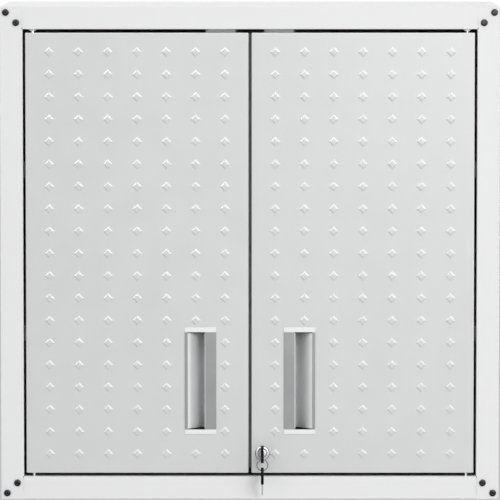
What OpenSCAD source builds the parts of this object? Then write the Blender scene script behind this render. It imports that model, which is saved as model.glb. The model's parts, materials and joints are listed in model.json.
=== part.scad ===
// Wall-hung steel cabinet with two embossed doors, two shelves and a cam lock.
// Row frame: origin at the centre of the back on the wall plane, +X right, +Y into the wall, +Z up.

/* [Casing] */
// Width of the casing
case_w = 770; // [700:10:900]
// Height of the casing
case_h = 762; // [720:2:900]
// Depth of the casing, from the wall to the front faces
case_d = 318; // [300:1:420]
// Thickness of the steel sheet
sheet_t = 1; // [0.8:0.1:1.2]
// Width of the front faces around the doors
face_w = 35; // [35:1:42]
// Depth of the return lips behind the front faces
lip_d = 20; // [20:1:22]

/* [Doors] */
// Gap between a door and the side face
side_gap = 4.2; // [3.8:0.1:5]
// Gap between the two doors
centre_gap = 4.6; // [4.2:0.1:6]
// Gap above and below a door
end_gap = 5.5; // [5:0.1:7]
// Thickness of a door
door_t = 20; // [20:1:20]
// Columns of embossed diamonds on a door
diamond_cols = 7; // [3:1:7]
// Rows of embossed diamonds on a door
diamond_rows = 19; // [5:1:19]
// Diagonal of an embossed diamond at its foot
diamond_foot = 15.5; // [12:0.5:17]
// Diagonal of an embossed diamond at its flat top
diamond_top = 10.5; // [7:0.5:11]
// Height of an embossed diamond
diamond_rise = 1.2; // [0.6:0.1:1.6]

/* [Handles] */
// Width of a recessed handle
handle_w = 48.5; // [46:0.5:52]
// Height of a recessed handle
handle_h = 165.5; // [150:0.5:180]
// Depth of the finger pocket
pocket_d = 26.5; // [18:0.5:27]
// Distance of a handle's centre from the middle of the cabinet
handle_x = 76.5; // [72:0.5:80]
// Height of a handle's centre above the bottom of the casing
handle_up = 183.7; // [170:0.1:220]

/* [Lock] */
// Diameter of the lock's bezel
bezel_d = 21; // [20:0.5:24]
// Distance of the lock's axis from the middle of the cabinet
lock_x = 19; // [19:0.5:24]
// Height of the lock's axis above the bottom of the casing
lock_up = 71; // [70:1:80]
// Reach of the cam from the lock's axis
cam_reach = 45; // [42:1:48]
// Outer diameter of the key ring
ring_d = 18.5; // [16:0.5:22]

/* [Inside] */
// Pitch of the slots in the uprights
slot_pitch = 25.4; // [25:0.1:26]
// Slot that holds the lower shelf's clips, counted from the lowest
lower_slot = 8; // [4:1:11]
// Slot that holds the upper shelf's clips, counted from the lowest
upper_slot = 18; // [15:1:22]
// Height of a shelf's folded edge
shelf_h = 25; // [20:1:30]
// Distance of each catch from the middle of the cabinet
catch_x = 45; // [40:1:50]

/* [Wall fixing] */
// Distance between the wall holes, side to side
wall_hole_x = 406.4; // [400:0.1:407]
// Distance between the wall holes, up and down
wall_hole_z = 600; // [560:10:620]
// Diameter of the wall holes
wall_hole_d = 9; // [7:0.5:11]

/* [Hidden] */
$fn = 48;

// Casing, worked out
half_w = case_w / 2;
half_h = case_h / 2;
front_y = -case_d;
open_w = half_w - face_w;
open_h = half_h - face_w;
panel_gap = 0.2;
inner_w = half_w - sheet_t - panel_gap;
panel_half_h = half_h - sheet_t - panel_gap;
back_recess = 5;
rear_flange_w = 18;
flange_y = -back_recess - 2 * sheet_t;
corner_screw_in = [9.2, 25];
back_screw_in = 9.5;
side_screw_z = [-280, -93, 93, 280];
end_screw_x = [-240, 0, 240];
plate_in = 1.5;
plate_t = 1.5;
nut_h = 5;
rail_l = 700;
rail_t = 1.5;
rail_half_h = 36;
rail_web_half_h = 21.5;

// Screws: diameter and length of the shank, diameter and height of the head, width of the socket
corner_screw = [6, 14, 10.6, 3.3, 4.6];
back_screw = [4, 9, 8, 2.5, 2.6];
catch_screw = [3.2, 8, 6.4, 2.2, 2];
clamp_screw = [2.9, 10, 5.4, 1.9, 2];
cam_screw = [3, 4, 9.5, 2.6, 2.6];
corner_screw_hole_d = 6.6;
back_screw_hole_d = 4.4;
catch_screw_hole_d = 3.4;
cap_hole_d = 3;
clamp_hole_d = 3.4;

// Doors, worked out
door_w = (case_w - 2 * face_w - 2 * side_gap - centre_gap) / 2;
door_h = case_h - 2 * face_w - 2 * end_gap;
door_in = centre_gap / 2;
door_out = door_in + door_w;
door_half_h = door_h / 2;
door_back = front_y + door_t;
return_w = 15;
pivot_x = door_out - 11.3;
pivot_y = front_y + 9.5;
pin_d = 5;
pin_head_d = 9;
pin_head_h = 2.5;
pin_in = 16;
bush_d = 9;
bush_flange_r = 7;
bush_flange_t = 1.5;
bush_l = 18.5;
washer_r = 6.2;
washer_foot_r = 3.7;
washer_h = 3.2;
running_clear = 0.05;
bore_r = pin_d / 2 + running_clear;
stiffener_x = 200;
strip_from = 15;
strip_short = 0.8;
diamond_pitch_x = 45.1;
diamond_pitch_z = 34.55;

// Handle, worked out: the grip plate lies towards the middle of the cabinet
handle_z = handle_up - half_h;
cap_h = 7.2;
end_plate_t = 1.5;
shell_half_h = handle_h / 2 - cap_h - end_plate_t;
cut_half_w = handle_w / 2 - 1.5;
cut_half_h = handle_h / 2 - 1.5;
grip_edge = -7.7;
scoop_edge = handle_w / 2 - 4.45;
pocket_in = -handle_w / 2 + 3.75;
shell_t = 1.5;
plate_proud = 1;
plate_back = 1.2;
corner_r = 3.5;
cap_from = shell_half_h + end_plate_t;
clamp_t = 1.5;
clamp_back = 23.5;
clamp_screw_up = 2.8;

// Lock, worked out
lock_z = lock_up - half_h;
bezel_t = 2.2;
lock_body_d = 19;
lock_nut_d = 27;
lock_nut_h = 4;
plug_d = 12;
body_back = door_back + 1.5;
cam_t = 2;
cam_hub_d = 7;
bow_w = 26;
bow_l = 20;
bow_t = 4.4;
blade_t = 2;
blade_h = 8;
blade_in = 20;
keyway_half_w = blade_t / 2 + 0.15;
keyway_half_h = blade_h / 2 + 0.2;
slot_half = 6.6;
slot_r = 2.3;
bow_y = front_y - bezel_t - 2;
slot_y = bow_y - bow_l + 5;
wire_d = 1.6;
ring_r = (ring_d - wire_d) / 2;
hang_gap = 0.5;
hang_z = lock_z - slot_half - slot_r + wire_d / 2 + hang_gap;
ring_z = hang_z - ring_r;
spare_z = ring_z - ring_r;
spare_tilt = 20.5;

// Inside, worked out
upright_w = 24;
upright_d = 12;
upright_half_h = half_h - 6;
upright_x = inner_w - upright_d;
front_upright_y = -262;
rear_upright_y = -40;
slot_count = 27;
lowest_slot_z = -13 * slot_pitch;
shelf_front = front_y + 35;
shelf_back = -13;
shelf_half_w = upright_x - 2.3;
ledge_drop = 12;
clip_t = 1.5;
lip_top = open_h + sheet_t;
catch_top = lip_top;
catch_screw_y = front_y + 29;
bracket_t = 1.5;

function slot_z(k) = lowest_slot_z + k * slot_pitch;

// A box from its lowest corner to its highest corner
module block(low, high) {
    translate(low) cube(high - low);
}

// The same shape on the left side of the cabinet
module on_left() {
    mirror([1, 0, 0]) children();
}

// The same shape upside down
module flipped() {
    mirror([0, 0, 1]) children();
}

module on_both_sides() {
    children();
    on_left() children();
}

module top_and_bottom() {
    children();
    flipped() children();
}

// A round bar along Y, from y0 to y1
module bar_y(x, y0, y1, z, d) {
    translate([x, y1, z]) rotate([90, 0, 0]) cylinder(d = d, h = y1 - y0);
}

// Casing

module corner_holes(d) {
    for (a = corner_screw_in)
        bar_y(half_w - a, front_y - 1, front_y + 10, half_h - a, d);
}

module side_back_holes() {
    for (z = side_screw_z)
        bar_y(half_w - back_screw_in, -20, 1, z, back_screw_hole_d);
}

module end_back_holes() {
    for (x = end_screw_x)
        bar_y(x, -20, 1, half_h - back_screw_in, back_screw_hole_d);
}

module side_panel() {
    color("white") difference() {
        union() {
            block([half_w - sheet_t, front_y, -half_h], [half_w, 0, half_h]);
            block([open_w, front_y, -half_h], [half_w, front_y + sheet_t, half_h]);
            block([open_w, front_y, -open_h], [open_w + sheet_t, front_y + lip_d, open_h]);
            block([half_w - rear_flange_w, flange_y, -panel_half_h],
                  [half_w, flange_y + sheet_t, panel_half_h]);
        }
        top_and_bottom() corner_holes(corner_screw_hole_d);
        side_back_holes();
    }
}

module end_panel() {
    face_x = open_w - panel_gap;
    tab_x = open_w - 6;
    color("white") difference() {
        union() {
            block([-inner_w, front_y + sheet_t, half_h - sheet_t], [inner_w, 0, half_h]);
            block([-face_x, front_y, open_h], [face_x, front_y + sheet_t, half_h]);
            block([-face_x, front_y, open_h], [face_x, front_y + lip_d, open_h + sheet_t]);
            on_both_sides()
                block([tab_x, front_y + sheet_t, open_h + 2 * sheet_t],
                      [inner_w, front_y + 2 * sheet_t, half_h]);
            block([-half_w + rear_flange_w + panel_gap, flange_y, half_h - rear_flange_w],
                  [half_w - rear_flange_w - panel_gap, flange_y + sheet_t, half_h]);
        }
        on_both_sides() corner_holes(corner_screw_hole_d);
        on_both_sides() translate([pivot_x, pivot_y, open_h - 1]) cylinder(d = pin_d + 0.1, h = 4);
        end_back_holes();
    }
}

module wall_holes() {
    for (sx = [-1, 1], sz = [-1, 1])
        bar_y(sx * wall_hole_x / 2, -20, 1, sz * wall_hole_z / 2, wall_hole_d);
}

module back_panel() {
    color("gainsboro") difference() {
        block([-inner_w, flange_y + sheet_t, -panel_half_h], [inner_w, -back_recess, panel_half_h]);
        wall_holes();
        on_both_sides() side_back_holes();
        top_and_bottom() end_back_holes();
    }
}

// Hat-section rail between the back panel and the wall
module hang_rail() {
    half = rail_half_h;
    web = rail_web_half_h;
    foot_y = rail_t - back_recess;
    color("silver") difference() {
        translate([-rail_l / 2, 0, wall_hole_z / 2]) rotate([90, 0, 90]) linear_extrude(rail_l)
            polygon([
                [-back_recess, -half], [foot_y, -half], [foot_y, -web], [0, -web],
                [0, web], [foot_y, web], [foot_y, half], [-back_recess, half],
                [-back_recess, web - rail_t], [-rail_t, web - rail_t],
                [-rail_t, rail_t - web], [-back_recess, rail_t - web]
            ]);
        wall_holes();
    }
}

module corner_plate() {
    difference() {
        block([open_w + sheet_t + 0.5, front_y + 2 * sheet_t, open_h + sheet_t + plate_in],
              [half_w - plate_in, front_y + 2 * sheet_t + plate_t, half_h - plate_in]);
        corner_holes(corner_screw_hole_d);
    }
}

module in_four_corners() {
    top_and_bottom() on_both_sides() children();
}

module corner_plates() {
    color("silver") in_four_corners() corner_plate();
}

// Button-head screw with a hex socket, its head on the plane y = 0 and its shank along +Y
module button_screw(sizes) {
    shank_l = sizes[1];
    head_r = sizes[2] / 2;
    head_h = sizes[3];
    rotate([90, 0, 0]) difference() {
        union() {
            translate([0, 0, -shank_l]) cylinder(d = sizes[0], h = shank_l);
            rotate_extrude() polygon(concat(
                [[0, 0], [head_r, 0]],
                [for (a = [0:15:75])
                    [head_r * (0.55 + 0.45 * cos(a)), head_h * (0.25 + 0.75 * sin(a))]],
                [[0, head_h]]
            ));
        }
        translate([0, 0, head_h * 0.4]) cylinder(d = sizes[4], h = head_h, $fn = 6);
    }
}

module corner_screws() {
    color("#2b2b2d") in_four_corners() for (a = corner_screw_in)
        translate([half_w - a, front_y, half_h - a]) button_screw(corner_screw);
}

module corner_nuts() {
    nut_y = front_y + 2 * sheet_t + plate_t;
    color("silver") in_four_corners() for (a = corner_screw_in)
        translate([half_w - a, nut_y + nut_h, half_h - a]) rotate([90, 0, 0]) difference() {
            cylinder(d = 11.5, h = nut_h, $fn = 6);
            translate([0, 0, -1]) cylinder(d = corner_screw[0] + 0.1, h = nut_h + 2);
        }
}

// Screw driven in from behind
module one_back_screw() {
    translate([0, -back_recess, 0]) mirror([0, 1, 0]) button_screw(back_screw);
}

module back_screws() {
    color("silver") {
        on_both_sides() for (z = side_screw_z)
            translate([half_w - back_screw_in, 0, z]) one_back_screw();
        top_and_bottom() for (x = end_screw_x)
            translate([x, 0, half_h - back_screw_in]) one_back_screw();
    }
}

// Shelf supports

module upright(y) {
    color("gainsboro") difference() {
        block([upright_x, y - upright_w / 2, -upright_half_h],
              [inner_w, y + upright_w / 2, upright_half_h]);
        block([upright_x + sheet_t, y - upright_w / 2 + sheet_t, -half_h],
              [half_w, y + upright_w / 2 - sheet_t, half_h]);
        for (k = [0:slot_count - 1])
            block([upright_x - 1, y - 1.6, slot_z(k) - 6.5], [upright_x + 2, y + 1.6, slot_z(k) + 6.5]);
    }
}

// Clip with a ledge for the shelf and a hook through the upright's slot
module shelf_clip(y, z) {
    block([upright_x - clip_t, y - 7, z - ledge_drop - clip_t], [upright_x, y + 7, z + 9]);
    block([upright_x - 14, y - 7, z - ledge_drop - clip_t], [upright_x, y + 7, z - ledge_drop]);
    block([upright_x - 0.5, y - 1.3, z - 2], [upright_x + 3.2, y + 1.3, z + 5.5]);
    block([upright_x + 1.7, y - 1.3, z - 6], [upright_x + 3.2, y + 1.3, z + 5.5]);
}

module shelf_clips(slot) {
    color("silver") on_both_sides() for (y = [front_upright_y, rear_upright_y])
        shelf_clip(y, slot_z(slot));
}

// Folded tray, upside down, with stiffening returns at the front and back
module shelf(slot) {
    z0 = slot_z(slot) - ledge_drop;
    z1 = z0 + shelf_h;
    return_d = 14;
    color("white") {
        block([-shelf_half_w, shelf_front, z1 - sheet_t], [shelf_half_w, shelf_back, z1]);
        on_both_sides()
            block([shelf_half_w - sheet_t, shelf_front, z0], [shelf_half_w, shelf_back, z1]);
        block([-shelf_half_w, shelf_front, z0], [shelf_half_w, shelf_front + sheet_t, z1]);
        block([-shelf_half_w, shelf_back - sheet_t, z0], [shelf_half_w, shelf_back, z1]);
        block([-shelf_half_w, shelf_front, z0], [shelf_half_w, shelf_front + return_d, z0 + sheet_t]);
        block([-shelf_half_w, shelf_back - return_d, z0], [shelf_half_w, shelf_back, z0 + sheet_t]);
    }
}

// Hat section of a given length along X, flanges up, standing hat_h deep
module hat_section(len, hat_w, hat_h, flange) {
    t = sheet_t;
    w = hat_w / 2;
    rotate([90, 0, 90]) linear_extrude(len, center = true) polygon([
        [-w - flange, 0], [-w, 0], [-w, t - hat_h], [w, t - hat_h], [w, 0], [w + flange, 0],
        [w + flange, -t], [w + t, -t], [w + t, -hat_h], [-w - t, -hat_h], [-w - t, -t],
        [-w - flange, -t]
    ]);
}

module shelf_stiffener(slot) {
    color("gainsboro")
        translate([0, (shelf_front + shelf_back) / 2, slot_z(slot) - ledge_drop + shelf_h - sheet_t])
            hat_section(2 * shelf_half_w - 30, 44, 16, 14);
}

// Door catches

module catch_bracket() {
    color("silver") difference() {
        block([-75, front_y + 4, catch_top], [75, front_y + 38, catch_top + bracket_t]);
        catch_screw_holes();
    }
}

// Puts its children at the top of each catch's two screw holes
module at_catch_screws() {
    on_both_sides() for (dx = [-15, 15])
        translate([catch_x + dx, catch_screw_y, catch_top]) children();
}

module catch_screw_holes() {
    at_catch_screws() translate([0, 0, -8.5]) cylinder(d = catch_screw_hole_d, h = 12);
}

// A box in a catch, from its front, that is inset evenly all round
module catch_box(half, from, depth, drop_from, drop_to) {
    block([catch_x - half, door_back + from, catch_top - drop_to],
          [catch_x + half, door_back + depth, catch_top - drop_from]);
}

module catch_housings() {
    color("whitesmoke") difference() {
        on_both_sides() difference() {
            catch_box(23, 1.8, 16, 0, 16);
            catch_box(14, 0, 8, 7.5, 14);
        }
        catch_screw_holes();
    }
}

module catch_magnets() {
    color("dimgray") on_both_sides() catch_box(13.8, 1.7, 7.9, 7.7, 13.8);
}

module catch_screws() {
    color("silver") at_catch_screws()
        translate([0, 0, bracket_t]) rotate([-90, 0, 0]) button_screw(catch_screw);
}

// Hinges

// Pin through the frame's lip, with its head inside the frame
module top_pin() {
    color("silver") translate([pivot_x, pivot_y, 0]) {
        translate([0, 0, door_half_h - pin_in])
            cylinder(d = pin_d, h = lip_top - door_half_h + pin_in + pin_head_h / 2);
        translate([0, 0, lip_top]) cylinder(d = pin_head_d, h = pin_head_h);
    }
}

module hinge_pins() {
    top_and_bottom() top_pin();
}

module hinge_washers() {
    color("white") on_both_sides() translate([pivot_x, pivot_y, open_h]) mirror([0, 0, 1])
        rotate_extrude() polygon([
            [bore_r, 0], [washer_r, 0], [washer_r, 1], [washer_foot_r, washer_h], [bore_r, washer_h]
        ]);
}

// Blind bush in a door edge, running on the pin
module door_bush() {
    color("whitesmoke") translate([pivot_x, pivot_y, door_half_h]) mirror([0, 0, 1])
        rotate_extrude() polygon([
            [bore_r, 0], [bush_d / 2, 0], [bush_d / 2, sheet_t], [bush_flange_r, sheet_t],
            [bush_flange_r, sheet_t + bush_flange_t], [bush_d / 2, sheet_t + bush_flange_t],
            [bush_d / 2, bush_l], [0, bush_l], [0, pin_in + 0.2], [bore_r, pin_in + 0.2]
        ]);
}

module door_bushes() {
    top_and_bottom() door_bush();
}

// Doors, drawn on the right side

function diamond_x(c) = (door_in + door_out) / 2 + (c - (diamond_cols - 1) / 2) * diamond_pitch_x;
function diamond_z(r) = (r - (diamond_rows - 1) / 2) * diamond_pitch_z;
function under_handle(x, z) =
    abs(x - handle_x) < (handle_w + diamond_foot) / 2 - 1
    && abs(z - handle_z) < (handle_h + diamond_foot) / 2 - 2;

module diamonds() {
    for (c = [0:diamond_cols - 1], r = [0:diamond_rows - 1])
        if (!under_handle(diamond_x(c), diamond_z(r)))
            translate([diamond_x(c), front_y, diamond_z(r)]) rotate([90, 0, 0])
                cylinder(d1 = diamond_foot, d2 = diamond_top, h = diamond_rise, $fn = 4);
}

module door_edges() {
    for (x = [door_in, door_out - sheet_t])
        block([x, front_y, -door_half_h], [x + sheet_t, door_back, door_half_h]);
    for (x = [door_in, door_out - return_w])
        block([x, door_back - sheet_t, -door_half_h], [x + return_w, door_back, door_half_h]);
    top_and_bottom() {
        block([door_in, front_y, door_half_h - sheet_t], [door_out, door_back, door_half_h]);
        block([door_in, door_back - sheet_t, door_half_h - return_w],
              [door_out, door_back, door_half_h]);
    }
}

module door_skin(with_lock) {
    color("ghostwhite") difference() {
        union() {
            block([door_in, front_y, -door_half_h], [door_out, front_y + sheet_t, door_half_h]);
            door_edges();
            diamonds();
        }
        block([handle_x - cut_half_w, front_y - 3, handle_z - cut_half_h],
              [handle_x + cut_half_w, front_y + 3, handle_z + cut_half_h]);
        top_and_bottom()
            translate([pivot_x, pivot_y, door_half_h - 4]) cylinder(d = bush_d + 0.1, h = 6);
        if (with_lock) {
            bar_y(lock_x, front_y - 3, front_y + 3, lock_z, lock_body_d + 0.3);
            bar_y(lock_x, door_back - 3, door_back + 3, lock_z, lock_body_d + 3);
        }
    }
}

module door_stiffener() {
    color("gainsboro") translate([stiffener_x, front_y + sheet_t, 0]) rotate([90, 0, 0])
        rotate([0, 0, 90]) hat_section(door_h - 46, 46, 14, 14);
}

module strike() {
    color("silver") block([catch_x - 20, door_back, door_half_h - 13.5],
                          [catch_x + 20, door_back + 1.4, door_half_h - 1]);
}

// Strip on the left door's edge that closes the gap between the doors from behind
module gap_strip() {
    color("gray") block([-door_in - strip_from, door_back, 6 - door_half_h],
                        [door_in - strip_short, door_back + sheet_t, door_half_h - 1.5]);
}

// Handles, drawn on the right side

// The scoop runs from the outer lip into the pocket on a smooth slope
function scoop(du, dv) = [for (a = [0:7.5:90])
    [scoop_edge + du - (scoop_edge - grip_edge) * a / 90, dv + pocket_d * pow(sin(a), 2)]];
function turn(r, a0, a1) = [for (i = [0:6]) let (a = a0 + (a1 - a0) * i / 6) [r * cos(a), r * sin(a)]];
function moved(points, by) = [for (p = points) p + by];
function reversed(points) = [for (i = [len(points) - 1:-1:0]) points[i]];

// Outline of the pocket's outside, from the outer lip round to the inner wall
function pocket_outside() = concat(
    scoop(1.2, shell_t),
    moved(turn(corner_r + shell_t, 90, 180), [pocket_in + corner_r, pocket_d - corner_r]),
    [[pocket_in - shell_t, plate_back]]
);

module handle_profile() {
    edge = handle_w / 2;
    polygon(concat(
        [[edge, -plate_proud], [edge, 0], [cut_half_w - 0.3, 0], [cut_half_w - 0.3, shell_t]],
        pocket_outside(),
        [[pocket_in - shell_t, 0], [-edge, 0], [-edge, -plate_proud], [grip_edge, -plate_proud],
         [grip_edge + 0.6, 0], [grip_edge, plate_back], [pocket_in, plate_back]],
        moved(turn(corner_r, 180, 90), [pocket_in + corner_r, pocket_d - corner_r]),
        reversed(scoop(0, 0)),
        [[scoop_edge, -plate_proud]]
    ));
}

// Stands a profile drawn in X and depth upright in the door, between two heights above its middle
module in_handle(low, high) {
    translate([handle_x, front_y, handle_z + low]) linear_extrude(high - low) children();
}

module handle_shell() {
    color("#b9babc") in_handle(-shell_half_h, shell_half_h) handle_profile();
}

module handle_end_plates() {
    color("#1d1d1f") for (low = [-shell_half_h - end_plate_t, shell_half_h])
        in_handle(low, low + end_plate_t)
            polygon(concat(pocket_outside(), [[cut_half_w - 0.6, plate_back]]));
}

module handle_cap() {
    z0 = cap_from;
    difference() {
        union() {
            in_handle(z0, handle_h / 2) translate([-handle_w / 2, -1.4]) square([handle_w, 1.4]);
            in_handle(z0 + 0.1, cut_half_h - 0.3) translate([-18, 0]) square([36, 22]);
        }
        bar_y(handle_x, front_y + 12, front_y + 23, handle_z + z0 + clamp_screw_up, cap_hole_d);
    }
}

// The same shape at the handle's other end
module at_handle_ends() {
    children();
    translate([0, 0, 2 * handle_z]) flipped() children();
}

module handle_caps() {
    color("#f2f2f2") at_handle_ends() handle_cap();
}

module handle_clamps() {
    z0 = cap_from;
    foot = 30;
    leg = clamp_t - foot;
    web = clamp_back - clamp_t;
    color("silver") at_handle_ends() difference() {
        in_handle(z0 + 0.3, z0 + 7) polygon([
            [-foot, sheet_t], [leg, sheet_t], [leg, web], [-leg, web], [-leg, sheet_t],
            [foot, sheet_t], [foot, clamp_back], [-foot, clamp_back]
        ]);
        bar_y(handle_x, front_y + 20, front_y + 26, handle_z + z0 + clamp_screw_up, clamp_hole_d);
    }
}

module handle_screws() {
    color("silver") at_handle_ends()
        translate([handle_x, front_y + clamp_back, handle_z + cap_from + clamp_screw_up])
            mirror([0, 1, 0]) button_screw(clamp_screw);
}

// Lock

module lock_body() {
    color("silver") difference() {
        union() {
            bar_y(lock_x, front_y - bezel_t, front_y, lock_z, bezel_d);
            bar_y(lock_x, front_y, body_back, lock_z, lock_body_d);
        }
        bar_y(lock_x, front_y - 5, body_back + 1, lock_z, plug_d + 0.1);
    }
}

module lock_nut() {
    color("silver") difference() {
        translate([lock_x, front_y + sheet_t + lock_nut_h, lock_z]) rotate([90, 0, 0])
            cylinder(d = lock_nut_d, h = lock_nut_h, $fn = 6);
        bar_y(lock_x, front_y, front_y + 8, lock_z, lock_body_d + 0.2);
    }
}

module lock_plug() {
    tail_end = body_back + cam_t + 0.1;
    color("gainsboro") difference() {
        union() {
            bar_y(lock_x, front_y - bezel_t - 0.3, body_back, lock_z, plug_d);
            bar_y(lock_x, body_back, tail_end, lock_z, cam_hub_d);
        }
        bar_y(lock_x, tail_end - cam_screw[1] - 0.2, tail_end + 1, lock_z, cam_screw[0] + 0.1);
        block([lock_x - keyway_half_w, front_y - 4, lock_z - keyway_half_h],
              [lock_x + keyway_half_w, front_y - bezel_t + blade_in + 1, lock_z + keyway_half_h]);
    }
}

// Drawn in the unlocked position, pointing away from the cabinet's middle
module lock_cam() {
    y0 = body_back + 0.05;
    color("silver") difference() {
        union() {
            bar_y(lock_x, y0, y0 + cam_t, lock_z, 17);
            block([lock_x, y0, lock_z - 6.5], [lock_x + cam_reach, y0 + cam_t, lock_z + 6.5]);
        }
        bar_y(lock_x, y0 - 1, y0 + cam_t + 1, lock_z, cam_hub_d + 0.1);
    }
}

module cam_screw() {
    color("silver") translate([lock_x, body_back + cam_t + 0.15, lock_z]) mirror([0, 1, 0])
        button_screw(cam_screw);
}

// Keys, drawn with the bow's slot upright and the blade along +Y

module key_blade_at_lock() {
    y0 = front_y - bezel_t;
    difference() {
        union() {
            block([lock_x - blade_t / 2, bow_y - 3, lock_z - blade_h / 2],
                  [lock_x + blade_t / 2, y0 + blade_in, lock_z + blade_h / 2]);
            block([lock_x - blade_t / 2, bow_y - 3, lock_z - blade_h / 2 - 1.5],
                  [lock_x + blade_t / 2, bow_y + 1, lock_z + blade_h / 2 + 1.5]);
        }
        for (i = [0:4])
            translate([lock_x, y0 + 4 + 3.2 * i, lock_z + blade_h / 2 + 0.9 - (i % 3) * 0.4])
                rotate([45, 0, 0]) cube([blade_t + 1, 2.4, 2.4], center = true);
    }
}

module key_bow_at_lock() {
    r = 5;
    difference() {
        translate([lock_x - bow_t / 2, 0, 0]) rotate([90, 0, 90]) linear_extrude(bow_t) difference() {
            translate([bow_y - bow_l, lock_z - bow_w / 2]) {
                for (y = [r, bow_l - r], z = [r, bow_w - r])
                    translate([y, z]) circle(r = r);
                translate([r, 0]) square([bow_l - 2 * r, bow_w]);
                translate([0, r]) square([bow_l, bow_w - 2 * r]);
            }
            for (dz = [-1, 1]) translate([slot_y, lock_z + dz * slot_half]) circle(r = slot_r);
            translate([slot_y - slot_r, lock_z - slot_half]) square([2 * slot_r, 2 * slot_half]);
        }
        block([lock_x - blade_t / 2 - 0.05, bow_y - 3.1, lock_z - blade_h / 2 - 1.6],
              [lock_x + blade_t / 2 + 0.05, bow_y + 1, lock_z + blade_h / 2 + 1.6]);
    }
}

// Turns a key drawn in the lock so that it hangs from the ring by one end of its slot, balanced
module hanging() {
    translate([lock_x, slot_y, spare_z + wire_d / 2 + hang_gap - slot_r])
        rotate([spare_tilt - 90, 0, 0])
            translate([-lock_x, -slot_y, -lock_z - slot_half]) children();
}

module key_blade() {
    color("silver") key_blade_at_lock();
}

module key_bow() {
    color("#141416") key_bow_at_lock();
}

module key_ring() {
    color("silver") translate([lock_x, slot_y, ring_z]) rotate([90, 0, 0])
        rotate_extrude() translate([ring_r, 0]) circle(d = wire_d);
}

module spare_key_blade() {
    color("silver") hanging() key_blade_at_lock();
}

module spare_key_bow() {
    color("#141416") hanging() key_bow_at_lock();
}

on_left() side_panel();  // left_side_panel
side_panel();  // right_side_panel
end_panel();  // top_panel
flipped() end_panel();  // bottom_panel
back_panel();
hang_rail();  // upper_hang_rail
flipped() hang_rail();  // lower_hang_rail
corner_plates();
corner_screws();
corner_nuts();
back_screws();
on_left() upright(front_upright_y);  // left_front_upright
on_left() upright(rear_upright_y);  // left_rear_upright
upright(front_upright_y);  // right_front_upright
upright(rear_upright_y);  // right_rear_upright
shelf_clips(upper_slot);  // upper_shelf_clips
shelf_clips(lower_slot);  // lower_shelf_clips
catch_bracket();
catch_housings();
catch_magnets();
catch_screws();
on_left() hinge_pins();  // left_hinge_pins
hinge_pins();  // right_hinge_pins
hinge_washers();
shelf(upper_slot);  // upper_shelf
shelf_stiffener(upper_slot);  // upper_shelf_stiffener
shelf(lower_slot);  // lower_shelf
shelf_stiffener(lower_slot);  // lower_shelf_stiffener
on_left() door_skin(false);  // left_door_skin
on_left() door_stiffener();  // left_door_stiffener
on_left() door_bushes();  // left_door_bushes
on_left() strike();  // left_strike
gap_strip();
on_left() handle_shell();  // left_handle_shell
on_left() handle_caps();  // left_handle_caps
on_left() handle_end_plates();  // left_handle_end_plates
on_left() handle_clamps();  // left_handle_clamps
on_left() handle_screws();  // left_handle_screws
door_skin(true);  // right_door_skin
door_stiffener();  // right_door_stiffener
door_bushes();  // right_door_bushes
strike();  // right_strike
handle_shell();  // right_handle_shell
handle_caps();  // right_handle_caps
handle_end_plates();  // right_handle_end_plates
handle_clamps();  // right_handle_clamps
handle_screws();  // right_handle_screws
lock_body();
lock_nut();
lock_plug();
lock_cam();
cam_screw();
key_blade();
key_bow();
key_ring();
spare_key_blade();
spare_key_bow();
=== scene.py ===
"""Visual model of a wall-hung steel cabinet, built piece by piece around its CAD frame.

Every piece is in metres in the cabinet's own frame: +X to the right, +Y into the wall, +Z up. The doors
face -Y, and the origin is on the wall, at the cabinet's middle.
"""

from __future__ import annotations

import json
import logging
import math
from collections.abc import Callable, Iterable, Sequence
from dataclasses import dataclass
from enum import Enum

import bmesh
import bpy
from mathutils import Matrix, Vector

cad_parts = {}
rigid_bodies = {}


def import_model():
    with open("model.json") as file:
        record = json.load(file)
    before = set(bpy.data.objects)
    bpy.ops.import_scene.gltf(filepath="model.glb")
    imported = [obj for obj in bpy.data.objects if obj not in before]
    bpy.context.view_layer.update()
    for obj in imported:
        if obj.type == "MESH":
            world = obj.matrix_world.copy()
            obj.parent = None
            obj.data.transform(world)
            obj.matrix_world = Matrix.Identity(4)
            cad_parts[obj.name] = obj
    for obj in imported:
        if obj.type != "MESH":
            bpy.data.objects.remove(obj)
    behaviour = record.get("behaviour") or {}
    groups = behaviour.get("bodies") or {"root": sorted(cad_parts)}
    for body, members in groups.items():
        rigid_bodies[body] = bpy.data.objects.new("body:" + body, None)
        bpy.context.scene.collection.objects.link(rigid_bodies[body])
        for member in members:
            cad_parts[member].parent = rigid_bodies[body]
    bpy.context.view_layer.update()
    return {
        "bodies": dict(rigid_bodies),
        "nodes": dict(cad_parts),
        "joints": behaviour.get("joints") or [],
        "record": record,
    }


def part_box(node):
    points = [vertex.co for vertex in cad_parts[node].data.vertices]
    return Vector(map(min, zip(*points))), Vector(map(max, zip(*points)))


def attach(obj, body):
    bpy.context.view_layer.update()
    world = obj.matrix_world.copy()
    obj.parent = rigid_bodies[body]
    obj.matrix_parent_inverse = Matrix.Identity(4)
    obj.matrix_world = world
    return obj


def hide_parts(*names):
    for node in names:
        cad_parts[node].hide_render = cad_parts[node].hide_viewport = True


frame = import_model()
log = logging.getLogger("cabinet")

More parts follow.
